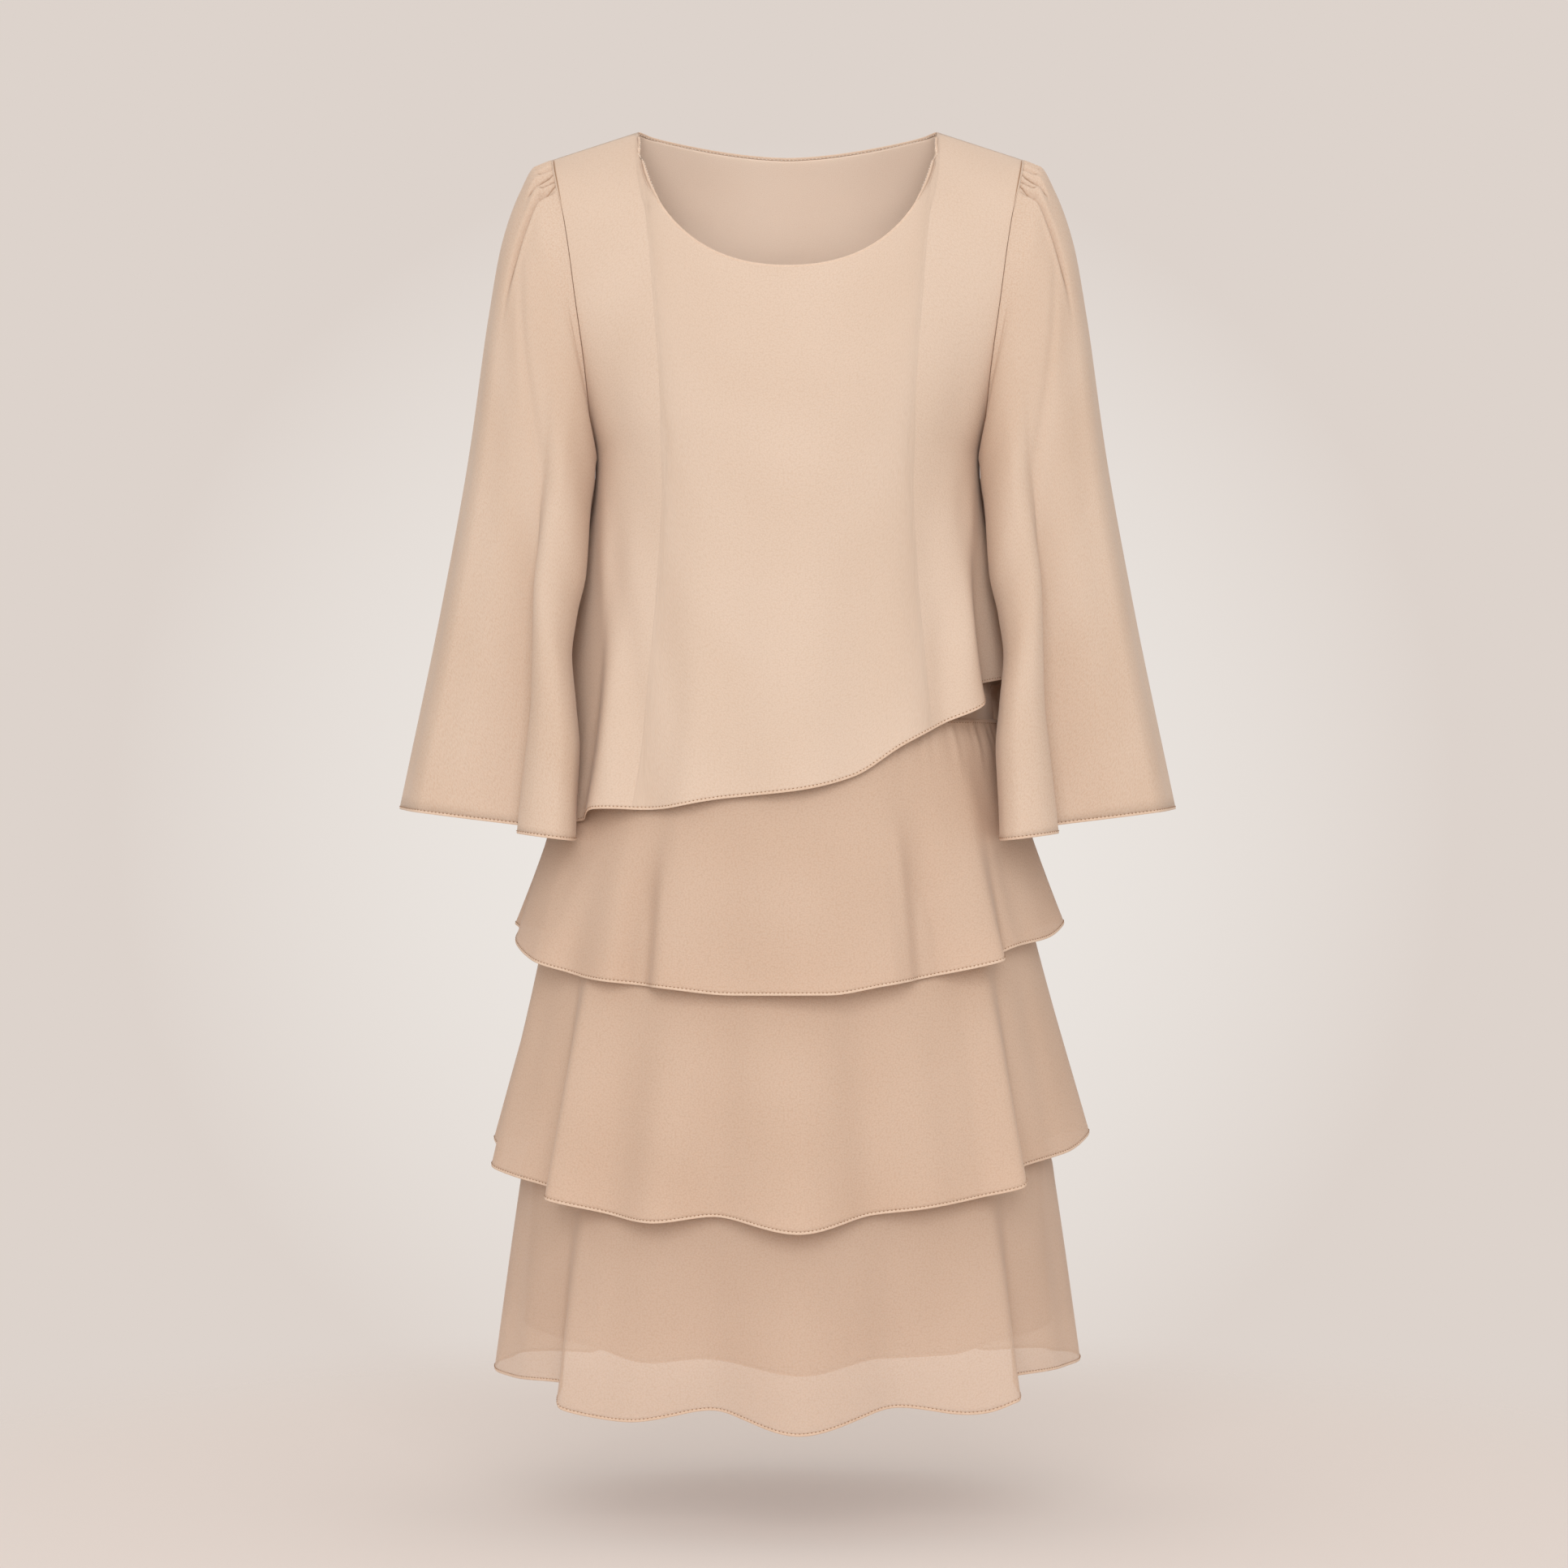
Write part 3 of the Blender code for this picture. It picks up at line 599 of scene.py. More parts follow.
def body_points(angles, heights):
    """Points on the outside of the slip's solid."""
    turn = np.radians(angles)
    front = on_front(angles)
    x = half_width(heights) * np.sin(turn)
    below_neck = ease((heights - UNDERARM_Z) / (FRONT_NECK_Z - UNDERARM_Z))
    drop = np.maximum(0.0, shoulder_line(x) * below_neck - heights)
    depth = np.where(front, read_table(BODY_DEPTHS, "front", drop), read_table(BODY_DEPTHS, "back", drop))
    flatness = SIDE_ROUNDNESS + ARMHOLE_FLATNESS * ease((heights - UNDERARM_Z) / FLATTENING_HEIGHT)
    towards_middle = np.abs(np.cos(turn)) ** flatness
    full_depth = np.where(front, ARMHOLE_FRONT, ARMHOLE_BACK)
    edge = np.minimum(depth, armhole_depth(heights, full_depth, 1.0 - towards_middle))
    y = edge + (depth - edge) * towards_middle
    return np.stack([x, np.where(front, -y, y), heights], axis=-1)


def outward(angles, heights):
    """Directions away from the body, which its front and back panels share where they meet."""
    across = from_middle(angles)
    x = body_points(angles, heights)[..., 0]
    near = np.where(heights > UNDERARM_Z, np.clip(across, -ARMHOLE_ROOM, ARMHOLE_ROOM) - across, 0.0)
    angles = angles + near
    low = heights - LEVEL_STEP / 2
    beside = body_points(angles + TURN_STEP, low) - body_points(angles - TURN_STEP, low)
    down = body_points(angles, heights - LEVEL_STEP) - body_points(angles, heights)
    away = np.cross(down, beside)
    at_side_seam = (heights <= UNDERARM_Z) & (np.abs(across) >= PANEL_EDGE)
    at_shoulder_seam = (np.abs(x) >= NECK_X - SEAM_REACH) & (heights >= shoulder_line(x) - SEAM_REACH)
    away[..., 1] = np.where(at_side_seam | at_shoulder_seam, 0.0, away[..., 1])
    return away / np.linalg.norm(away, axis=-1, keepdims=True)


def creased(creases, turns, levels, start=CREASE_START, lean=CREASE_LEAN):
    """How far creases lift the cloth, each fading towards both of its ends."""
    lift = np.zeros_like(levels)
    for crease in creases:
        along = (levels - crease.from_level) / (crease.to_level - crease.from_level)
        centre = crease.from_turn + (crease.to_turn - crease.from_turn) * np.clip(along, 0.0, lean)
        beside = wrapped(turns - centre) / crease.half_turn
        rise = crease.rise * np.exp(-(beside**2)) * ease(along / start)
        lift += rise * ease((CREASE_END - along) / CREASE_FADE)
    return lift


def soft_max(a, b):
    """The larger of two offsets, rounded where they cross."""
    return 0.5 * (a + b + np.sqrt((a - b) ** 2 + LAYER_ROUNDING**2))


def gathers(angles, share, seed):
    """Small uneven puckers below a gathered seam, which open out and fade down the cloth."""
    turn = np.radians(angles)
    waves = sum(row.height * np.sin(row.count * turn + row.shift * seed) for row in PUCKERS)
    return PUCKER_HEIGHT * waves * ease(share / PUCKER_START) * ease((PUCKER_END - share) / PUCKER_END)


def tier_offset(index, angles, heights):
    """How far a tier's outside hangs from the slip, clear of any tier under it."""
    tier = TIERS[index]
    share = np.maximum(0.0, (tier.top - heights) / (tier.top - round_table(tier.hem, angles)))
    seam = SEAM_GAP + WALL + tier.puff * ease(share / PUFF_SHARE)
    offset = seam + round_table(tier.waves, angles) * share**tier.growth
    offset = offset + gathers(angles, share, index + 1.0) + creased(TIER_CREASES[index], angles, heights)
    if index + 1 < len(TIERS):
        under = soft_max(offset, tier_offset(index + 1, angles, heights) + WALL + LAYER_AIR)
        offset = np.where(heights < TIERS[index + 1].top, under, offset)
    return offset


def near_neck(heights):
    return ease((heights - NECK_ROOM_Z) / NECK_ROOM)


def overlay_offset(angles, heights):
    """How far the outer bodice lies from the slip, flaring out below the waist and over the first tier."""
    share = np.maximum(0.0, (OVERLAY_FLARE_TOP - heights) / (OVERLAY_FLARE_TOP - OVERLAY_FLARE_END))
    lining_gap = LINING_GAP + NECK_LINING_EASE * near_neck(heights)
    offset = lining_gap + BODICE_WALL + round_table(OVERLAY_WAVES, angles) * share**OVERLAY_GROWTH
    inside_edge = ease((CREASE_EDGE - np.abs(from_middle(angles))) / CREASE_EDGE_FADE)
    inside_edge = np.where(heights > UNDERARM_Z, inside_edge, 1.0)
    offset = offset + creased(OVERLAY_CREASES, angles, heights) * inside_edge
    under = soft_max(offset, tier_offset(0, angles, heights) + WALL + LAYER_AIR)
    return np.where(heights < TIERS[0].top, under, offset)


def slip_offset(angles, heights):
    """The lining lies just inside the outer bodice at the neck and shoulders, where both are sewn."""
    near = near_neck(heights)
    return NECK_LINING_EASE * near - LINING_DROP * (1.0 - NECK_LINING_SHARE * near)


def layer(angles, heights, offset_of):
    """A grid of cloth over the body: angles across, heights down each column, moved out by its offsets."""
    grid_angles = np.broadcast_to(angles, heights.shape)
    offsets = offset_of(grid_angles, heights)
    cloth = body_points(grid_angles, heights) + outward(grid_angles, heights) * offsets[..., None]
    cloth[..., 1] += -SEAM_HALF_GAP if on_front(angles[1]) else SEAM_HALF_GAP
    return cloth


def relaxed(grid):
    """Evens out the cloth over the shoulders and at the underarm, and leaves its edges in place."""
    grid = grid.copy()
    heights = grid[1:-1, 1:-1, 2]
    at_underarm = np.exp(-(((heights - UNDERARM_Z) / UNDERARM_SPREAD) ** 2))
    share = RELAX_STEP * np.maximum(ease((heights - RELAXED_Z) / RELAXED_FADE), at_underarm)[..., None]
    for _ in range(RELAX_PASSES):
        near = (grid[:-2, 1:-1] + grid[2:, 1:-1] + grid[1:-1, :-2] + grid[1:-1, 2:]) / 4
        grid[1:-1, 1:-1] += share * (near - grid[1:-1, 1:-1])
    return grid


def top_edge(x, front, setback):
    """Height of the shoulder seam, or of the neckline, which is set back on the lining."""
    across = np.abs(x) / (NECK_X + setback)
    corner = shoulder_line(NECK_X + setback)
    inner = np.minimum(across, 1.0)
    if front:
        neckline = corner - (corner + setback - FRONT_NECK_Z) * np.sqrt(1.0 - inner**FRONT_NECK_FULLNESS)
    else:
        neckline = corner - (corner + setback - BACK_NECK_Z) * (1.0 - inner**BACK_NECK_FULLNESS)
    return np.where(across >= 1.0, shoulder_line(x), neckline)


def column_tops(angles, front, setback):
    """Heights at which a panel's columns meet its top edge."""
    heights = np.zeros_like(angles)
    for _ in range(TOP_PASSES):
        x = half_width(heights) * np.sin(np.radians(angles))
        heights = 0.5 * heights + 0.5 * top_edge(x, front, setback)
    return heights


def bodice_columns(setback):
    """Angles across a bodice panel, with a column at each neck point and closer ones beside it."""
    neck = math.degrees(math.asin((NECK_X + setback) / float(half_width(NECK_Z))))
    return np.concatenate([
        np.linspace(-PANEL_EDGE, -neck, SHOULDER_COLUMNS + 1)[:-1],
        neck * np.sin(np.radians(np.linspace(-90.0, 90.0, NECK_COLUMNS + 1)))[:-1],
        np.linspace(neck, PANEL_EDGE, SHOULDER_COLUMNS + 1),
    ])


def round_body(across, front):
    """Columns across a panel as angles round the body, the front's from right to left side."""
    return across if front else 180.0 - across[::-1]


def bodice_grid(hem_rows, offset_of, setback, front):
    """The outside of a bodice panel, from the shoulders and neckline to the underarm and on to the hem."""
    angles = round_body(bodice_columns(setback), front)
    top = column_tops(angles, front, setback)
    hem = round_table(hem_rows, angles)
    upper = (1.0 - np.cos(np.pi * np.linspace(0.0, 1.0, ARMHOLE_ROWS + 1))) / 2
    lower = np.linspace(0.0, 1.0, LOWER_ROWS + 1)[1:]
    heights = np.concatenate([
        top + (UNDERARM_Z - top) * upper[:, None],
        UNDERARM_Z + (hem - UNDERARM_Z) * lower[:, None],
    ])
    return relaxed(layer(angles, heights, offset_of))


def tier_grid(index, front):
    tier = TIERS[index]
    angles = round_body(np.linspace(-PANEL_EDGE, PANEL_EDGE, TIER_COLUMNS + 1), front)
    falls = np.linspace(0.0, 1.0, TIER_ROWS + 1)[:, None]
    heights = tier.top + (round_table(tier.hem, angles) - tier.top) * falls
    return layer(angles, heights, partial(tier_offset, index))


def armhole_edge(front_grid, back_grid):
    """The outer bodice's armhole at the wearer's left, from the shoulder down the front and up the back."""
    front_edge = front_grid[: ARMHOLE_ROWS + 1, -1]
    back_edge = back_grid[ARMHOLE_ROWS::-1, 0]
    return np.concatenate([front_edge, back_edge[1:]]) + np.array([ARMHOLE_GAP, 0.0, 0.0])


def sleeve_section(levels, turns):
    """Points on the sleeve, with their places on the flared hem blended in."""
    ring = Ring(*(through_rows(range(len(SLEEVE_RINGS)), column, levels) for column in zip(*SLEEVE_RINGS)))
    radians = np.radians(turns)
    round_share = (1.0 - np.cos(radians)) / 2
    round_depth = -np.sin(radians) * np.where(turns <= 180.0, ring.front, ring.back)
    share = round_share + (read_table(SLEEVE_HEM, "share", turns) - round_share) * ring.flare
    depth = round_depth + (read_table(SLEEVE_HEM, "depth", turns) - round_depth) * ring.flare
    x = ring.outer_x + (ring.inner_x - ring.outer_x) * share
    for column, middle in (("front", FRONT_FLUTE_TURN), ("back", BACK_FLUTE_TURN)):
        shift = read_table(FLUTE_SHIFTS, column, levels)
        x = x - shift * np.exp(-(((turns - middle) / FLUTE_HALF_TURN) ** 4))
    z = ring.outer_z + (ring.inner_z - ring.outer_z) * share
    # The front flute hangs a little lower than the cloth beside it
    low = ease((turns - FLUTE_START) / FLUTE_RISE) * ease((FLUTE_END - turns) / FLUTE_FADE)
    return np.stack([x, depth, z - FLUTE_DROP * low * ring.flare**2], axis=-1)


def sleeve_lift(levels, turns):
    """How far gathers and creases lift the sleeve."""
    signed = np.where(turns <= 180.0, turns, turns - 360.0)
    lift = creased(SLEEVE_CREASES, turns, levels, SLEEVE_CREASE_START, SLEEVE_CREASE_LEAN)
    for tuck in CAP_GATHERS:
        beside = ease(1.0 - np.abs(signed - tuck.turn) / tuck.half_turn)
        lift += TUCK_LIFT * tuck.out * beside * ease(levels / TUCK_START) * ease(1.0 - levels / tuck.reach)
    return lift * ease(levels / CAP_SEAM)


def sleeve_grid(edge):
    """The left sleeve, from the armhole to the flared hem: turns across, once round it."""
    cap = np.linspace(-CAP_HALF_TURN, CAP_HALF_TURN, CAP_COLUMNS + 1)
    under = np.linspace(CAP_HALF_TURN, 360.0 - CAP_HALF_TURN, UNDER_COLUMNS + 1)[1:-1]
    turns = np.concatenate([cap, under]) % 360.0
    levels = np.concatenate([
        np.linspace(0.0, CAP_END, CAP_ROWS + 1),
        np.linspace(CAP_END, len(SLEEVE_RINGS) - 1.0, SLEEVE_ROWS + 1)[1:],
    ])
    turns, levels = np.meshgrid(turns, levels)
    steps = turns[0] / 360.0 * (len(edge) - 1)
    armhole = np.stack([np.interp(steps, np.arange(len(edge)), column) for column in edge.T], axis=-1)
    points = sleeve_section(levels, turns)
    start = sleeve_section(np.zeros_like(turns[0]), turns[0])
    points = points + (armhole - start)[None] * (1.0 - ease(levels))[..., None]
    far_side = sleeve_section(levels, np.full_like(turns, 180.0))
    middle = (sleeve_section(levels, np.zeros_like(turns)) + far_side) / 2
    away = points - middle
    away = away / np.linalg.norm(away, axis=-1, keepdims=True)
    return points + away * sleeve_lift(levels, turns)[..., None]


def side_reach(side, depths, levels):
    """How far the bodice, or the lining below its hem, reaches out beside a sleeve, at depths and heights."""
    angles, heights = np.meshgrid(side * np.linspace(*ROOM_ANGLES), levels)
    hem = round_table(OVERLAY_HEM, angles)
    over, under = overlay_offset(angles, heights), slip_offset(angles, heights)
    offsets = np.where(heights > hem - ROOM_OVERLAP, over, under)
    over_tier = np.maximum(offsets, tier_offset(0, angles, heights))
    offsets = np.where(heights < TIERS[0].top + ROOM_OVERLAP, over_tier, offsets)
    cloth = body_points(angles, heights) + outward(angles, heights) * offsets[..., None]
    reach = np.stack([np.interp(depths, row[:, 1], np.abs(row[:, 0]), 0.0, 0.0) for row in cloth])
    # Evened out over 35 mm of height, so that the bodice's hem leaves no step in the sleeve
    padded = np.pad(reach, ((ROOM_EVEN_ROWS, ROOM_EVEN_ROWS), (0, 0)), mode="edge")
    window = 2 * ROOM_EVEN_ROWS + 1
    even = sum(padded[k : k + len(reach)] for k in range(window)) / window
    return np.maximum(even, reach * ease((heights[:, :1] - hem.mean() + HEM_ROOM) / HEM_ROOM_FADE))


def kept_clear(sleeve, side):
    """Moves a sleeve's inner cloth out where the bodice needs the room."""
    depths, levels = np.linspace(*ROOM_DEPTHS), np.linspace(*ROOM_HEIGHTS)
    reach = side_reach(side, depths, levels)
    # No point lies beyond the last cell of the grid
    across = np.clip((sleeve[..., 1] - depths[0]) / (depths[1] - depths[0]), 0, len(depths) - 1.001)
    down = np.clip((sleeve[..., 2] - levels[0]) / (levels[1] - levels[0]), 0, len(levels) - 1.001)
    column, row = across.astype(int), down.astype(int)
    across, down = across - column, down - row
    near = (reach[row, column] * (1 - across) + reach[row, column + 1] * across) * (1 - down)
    far = (reach[row + 1, column] * (1 - across) + reach[row + 1, column + 1] * across) * down
    room = near + far + SLEEVE_ROOM
    moved = sleeve.copy()
    share = ease((ROOM_TOP - sleeve[..., 2]) / ROOM_FADE)
    moved[..., 0] += share * (soft_max(sleeve[..., 0], room) - sleeve[..., 0])
    return moved


def from_hex(code):
    """A colour written as sRGB hex, as linear red, green and blue."""
    parts = [int(code[i : i + 2], 16) / 255.0 for i in (0, 2, 4)]
    return tuple(c / 12.92 if c <= 0.04045 else ((c + 0.055) / 1.055) ** 2.4 for c in parts)


def surface_normals(grid, closed):
    down = np.gradient(grid, axis=0)
    if closed:
        across = (np.roll(grid, -1, axis=1) - np.roll(grid, 1, axis=1)) / 2
    else:
        across = np.gradient(grid, axis=1)
    away = np.cross(down, across)
    return away / np.maximum(np.linalg.norm(away, axis=-1, keepdims=True), 1e-12)


def arc_lengths(points, axis):
    steps = np.linalg.norm(np.diff(points, axis=axis), axis=-1)
    start = np.zeros_like(np.take(steps, [0], axis=axis))
    return np.concatenate([start, np.cumsum(steps, axis=axis)], axis=axis)


def crease_shade_mask(grid, closed):
    """How sharply the cloth is hollowed at each point, from 0 where it is flat to 1 in a tight tuck: the
    share of painted crease shade there.
    """
    step = CREASE_COLUMNS
    padded = np.pad(grid, ((0, 0), (step, step), (0, 0)), mode="wrap" if closed else "edge")
    before, after = padded[:, : -2 * step], padded[:, 2 * step :]
    gap = np.linalg.norm(after - before, axis=-1) / 2
    hollow = (((before + after) / 2 - grid) * surface_normals(grid, closed)).sum(-1)
    depths = ease(hollow / np.maximum(gap, 1e-5) ** 2 * TIGHT_CREASE)
    if not closed:
        depths[:, : step + 1] = depths[:, -step - 1 :] = 0.0
    return depths


def cell_corners(values):
    """Values at the four corners of each cell of a grid."""
    return np.stack([values[:-1, :-1], values[1:, :-1], values[1:, 1:], values[:-1, 1:]], axis=2)


def new_object(name, mesh):
    """An object at the origin, in the scene."""
    made = bpy.data.objects.new(name, mesh)
    bpy.context.scene.collection.objects.link(made)
    return made


def cloth_shell(name, grid, material, thickness, closed=False):
    """A thin cloth shell on a grid of outside points, with a map in metres that follows the cloth, and each
    point's share of painted shade in tight creases.
    """
    rows_down, columns = grid.shape[:2]
    index = np.arange(rows_down * columns).reshape(rows_down, columns)
    along, down = arc_lengths(grid, 1), arc_lengths(grid, 0)
    u = along - along[:, columns // 2][:, None]
    if closed:
        index = np.concatenate([index, index[:, :1]], axis=1)
        seam = np.linalg.norm(grid[:, -1] - grid[:, 0], axis=-1)[:, None]
        u = np.concatenate([u, u[:, -1:] + seam], axis=1)
        down = np.concatenate([down, down[:, :1]], axis=1)
    mesh = bpy.data.meshes.new(name)
    mesh.from_pydata(grid.reshape(-1, 3).tolist(), [], cell_corners(index).reshape(-1, 4).tolist())
    laid = cell_corners(np.stack([u, -down], axis=-1))
    cloth_map = mesh.uv_layers.new(name="cloth")
    cloth_map.data.foreach_set("uv", laid.reshape(-1).astype(np.float32))
    # The point attribute crease holds how much painted shade each point gets in the colour
    painted_shade_share = mesh.attributes.new("crease", "FLOAT", "POINT")
    painted_shade_share.data.foreach_set("value", crease_shade_mask(grid, closed).reshape(-1).astype(np.float32))
    mesh.materials.append(material)
    mesh.shade_smooth()
    mesh.update()
    piece = new_object(name, mesh)
    wall = piece.modifiers.new("thickness", "SOLIDIFY")
    wall.thickness = thickness
    wall.offset = -1.0
    wall.use_even_offset = False
    return piece


def line_on_cloth(grid, distance, lift, closed=False, outside=1.0):
    """A line at a distance from a grid's last row, lifted off the cloth, and its ways off the cloth."""
    away = outside * surface_normals(grid, closed)[::-1]
    upward = grid[::-1]
    reach = arc_lengths(upward, 0)
    line, directions = (
        np.array([
            [np.interp(distance, reach[:, column], values[:, column, k]) for k in range(3)]
            for column in range(grid.shape[1])
        ])
        for values in (upward, away)
    )
    directions /= np.linalg.norm(directions, axis=1, keepdims=True)
    return line + directions * lift, directions


def run_on_line(tree, name, line, directions, closed, inputs):
    """Runs a node tree on a line and returns what it makes as a plain mesh object of the dress."""
    count = len(line)
    edges = [(i, i + 1) for i in range(count - 1)] + ([(count - 1, 0)] if closed else [])
    mesh = bpy.data.meshes.new(name)
    mesh.from_pydata(line.tolist(), edges, [])
    away = mesh.attributes.new("away", "FLOAT_VECTOR", "POINT")
    away.data.foreach_set("vector", directions.reshape(-1).astype(np.float32))
    carrier = new_object(name + "_line", mesh)
    modifier = carrier.modifiers.new("shape", "NODES")
    modifier.node_group = tree
    sockets = {item.name: item.identifier for item in tree.interface.items_tree if item.in_out == "INPUT"}
    for label, value in inputs.items():
        modifier[sockets[label]] = value
    graph = bpy.context.evaluated_depsgraph_get()
    made = bpy.data.meshes.new_from_object(carrier.evaluated_get(graph), depsgraph=graph)
    bpy.data.objects.remove(carrier, do_unlink=True)
    if not made.polygons:
        raise RuntimeError(f"{name}: the node tree made no faces")
    made.name = name
    piece = new_object(name, made)
    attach(piece, "root")
    return piece


def add_node(tree, kind, inputs=None, **settings):
    """Adds a node with its settings, and sets or links its inputs, to a node's first output or a socket."""
    node = tree.nodes.new(kind)
    for key, value in settings.items():
        setattr(node, key, value)
    for key, value in (inputs or {}).items():
        if isinstance(value, bpy.types.Node):
            value = value.outputs[0]
        if isinstance(value, bpy.types.NodeSocket):
            tree.links.new(value, node.inputs[key])
        else:
            node.inputs[key].default_value = value
    return node


def line_tree(name, sizes, material):
    """A node tree for a line on cloth: what adds its nodes, its inputs, the way off the cloth, the curve."""
    tree = bpy.data.node_groups.new(name, "GeometryNodeTree")
    add = partial(add_node, tree)
    kinds = {"Line": "Geometry", **dict.fromkeys(sizes, "Float"), material: "Material"}
    for label, kind in kinds.items():
        tree.interface.new_socket(label, in_out="INPUT", socket_type="NodeSocket" + kind)
    tree.interface.new_socket("Geometry", in_out="OUTPUT", socket_type="NodeSocketGeometry")
    given = add("NodeGroupInput").outputs
    away = add("GeometryNodeInputNamedAttribute", {"Name": "away"}, data_type="FLOAT_VECTOR")
    curve = add("GeometryNodeMeshToCurve", {"Mesh": given["Line"]})
    return add, given, away, curve


def end_tree(add, made, material):
    """Ends a node tree with smooth, plain geometry in its material."""
    smooth = add("GeometryNodeSetShadeSmooth", {"Geometry": made})
    plain = add("GeometryNodeRealizeInstances", {"Geometry": smooth})
    clothed = add("GeometryNodeSetMaterial", {"Geometry": plain, "Material": material})
    return add("NodeGroupOutput", {"Geometry": clothed}).id_data


def rolled_edge_tree():
    """A flat roll of cloth along a line, turned to lie on the cloth."""
    add, given, away, curve = line_tree("rolled edge", ("Height", "Thickness"), "Cloth")
    turned = add("GeometryNodeSetCurveNormal", {"Curve": curve, "Normal": away}, mode="FREE")
    ring = add("GeometryNodeCurvePrimitiveCircle", {"Resolution": 10, "Radius": 0.5})
    size = add("ShaderNodeCombineXYZ", {"X": given["Thickness"], "Y": given["Height"], "Z": 1.0})
    profile = add("GeometryNodeTransform", {"Geometry": ring, "Scale": size})
    roll = add("GeometryNodeCurveToMesh", {"Curve": turned, "Profile Curve": profile, "Fill Caps": True})
    return end_tree(add, roll, given["Cloth"])


def stitch_tree():
    """Short stitches laid end to end along a line, each a little uneven in length and lean."""
    add, given, away, curve = line_tree("stitches", ("Pitch", "Length", "Width"), "Thread")
    spaced = add("GeometryNodeResampleCurve", {"Curve": curve, "Length": given["Pitch"]}, mode="LENGTH")
    along = add("GeometryNodeInputTangent")
    lengthwise = add("FunctionNodeAlignRotationToVector", {"Vector": along}, axis="X")
    upright = add(
        "FunctionNodeAlignRotationToVector", {"Rotation": lengthwise, "Vector": away}, axis="Z",
        pivot_axis="X",
    )
    lean = add(
        "FunctionNodeRandomValue",
        {0: (0.0, 0.0, -STITCH_LEAN), 1: (0.0, 0.0, STITCH_LEAN), "Seed": 7}, data_type="FLOAT_VECTOR",
    )
    leaned = add(
        "FunctionNodeRotateRotation", {"Rotation": upright, "Rotate By": lean}, rotation_space="LOCAL"
    )
    vary = add(
        "FunctionNodeRandomValue", {0: THINNEST_STITCH, 1: (1.0, 1.0, 1.0), "Seed": 3},
        data_type="FLOAT_VECTOR",
    )
    size = add("ShaderNodeCombineXYZ", {"X": given["Length"], "Y": given["Width"], "Z": given["Width"]})
    uneven = add("ShaderNodeVectorMath", {0: size, 1: vary}, operation="MULTIPLY")
    stitch = add("GeometryNodeMeshIcoSphere", {"Radius": 0.5, "Subdivisions": 1})
    laid = add(
        "GeometryNodeInstanceOnPoints",
        {"Points": spaced, "Instance": stitch, "Rotation": leaned, "Scale": uneven},
    )
    return end_tree(add, laid, given["Thread"])


def tree_named(name, make):
    return bpy.data.node_groups.get(name) or make()


def blank_material(name):
    """An empty material, and what adds its nodes."""
    material = bpy.data.materials.new(name)
    material.use_nodes = True
    material.node_tree.nodes.clear()
    return material, partial(add_node, material.node_tree)


def woven_material(name, colour, shade, grain, openness, glow, on_cloth_map=True):
    """Matte woven cloth: a pebbled grain, a mottled colour, painted shade in tight tucks, light coming
    through, and gaps in its weave.
    """
    material, add = blank_material(name)
    if on_cloth_map:
        place = add("ShaderNodeUVMap", uv_map="cloth").outputs["UV"]
    else:
        place = add("ShaderNodeTexCoord").outputs["Object"]
    flat = "2D" if on_cloth_map else "3D"
    pebbles = add("ShaderNodeTexVoronoi", {"Vector": place, "Scale": 1.0 / grain}, voronoi_dimensions=flat)
    threads, broad = (
        add("ShaderNodeTexNoise", {"Vector": place, "Scale": scale, "Detail": 1.0}, noise_dimensions=flat)
        for scale in (1.6 / grain, 9.0)
    )
    height = add("ShaderNodeMath", {0: pebbles, 1: threads}, operation="ADD")
    # Grain and mottling turn into shares of the deeper shade, and the pebbles' tops into the roughest places
    grainy, mottled, rough = (
        add(
            "ShaderNodeMapRange",
            {"Value": value, "From Min": low, "From Max": high, "To Min": least, "To Max": most},
        )
        for value, low, high, least, most in (
            (height, 0.5, 1.3, 0.0, 0.55), (broad, 0.35, 0.65, 0.0, 0.22), (height, 0.4, 1.4, 0.78, 0.92),
        )
    )
    share = add("ShaderNodeMath", {0: grainy, 1: mottled}, operation="ADD", use_clamp=True)
    # Painted shade: tight tucks are darkened and warmed in the colour, as the light lost in them would look
    crease = add("ShaderNodeAttribute", attribute_name="crease").outputs["Fac"]
    painted_crease_colour = [c * part for c, part in zip(shade, PAINTED_CREASE_SHADE)]
    tint = (*colour, 1.0)
    for part, tone in ((share, shade), (crease, painted_crease_colour)):
        tint = add("ShaderNodeMix", {0: part, 6: tint, 7: (*tone, 1.0)}, data_type="RGBA").outputs[2]
    bump = add("ShaderNodeBump", {"Strength": 0.55, "Distance": 0.12 * grain, "Height": height})
    cloth = add(
        "ShaderNodeBsdfPrincipled",
        {
            "Base Color": tint, "Roughness": rough, "Normal": bump, "Sheen Weight": 0.18,
            "Sheen Roughness": 0.45, "Specular IOR Level": 0.25,
        },
    )
    through = add("ShaderNodeBsdfTranslucent", {"Color": tint, "Normal": bump})
    lit = add("ShaderNodeMixShader", {0: glow, 1: cloth, 2: through})
    gaps = add("ShaderNodeBsdfTransparent")
    surface = add("ShaderNodeMixShader", {0: openness, 1: lit, 2: gaps})
    add("ShaderNodeOutputMaterial", {"Surface": surface})
    return material


def chiffon(which, settings):
    """Polyester crepe chiffon, piece-dyed and left matt: a pebbled grain, no gloss, sheer in one layer."""
    finish = FINISHES[which]
    found = bpy.data.materials.get(finish.name)
    # The real pebbles are about 0.4 mm across, and are drawn coarser so that they show
    return found or woven_material(
        finish.name, tuple(getattr(settings, finish.colour)), from_hex(finish.shade), settings.grain,
        finish.openness, finish.glow, on_cloth_map=which != "hem",
    )


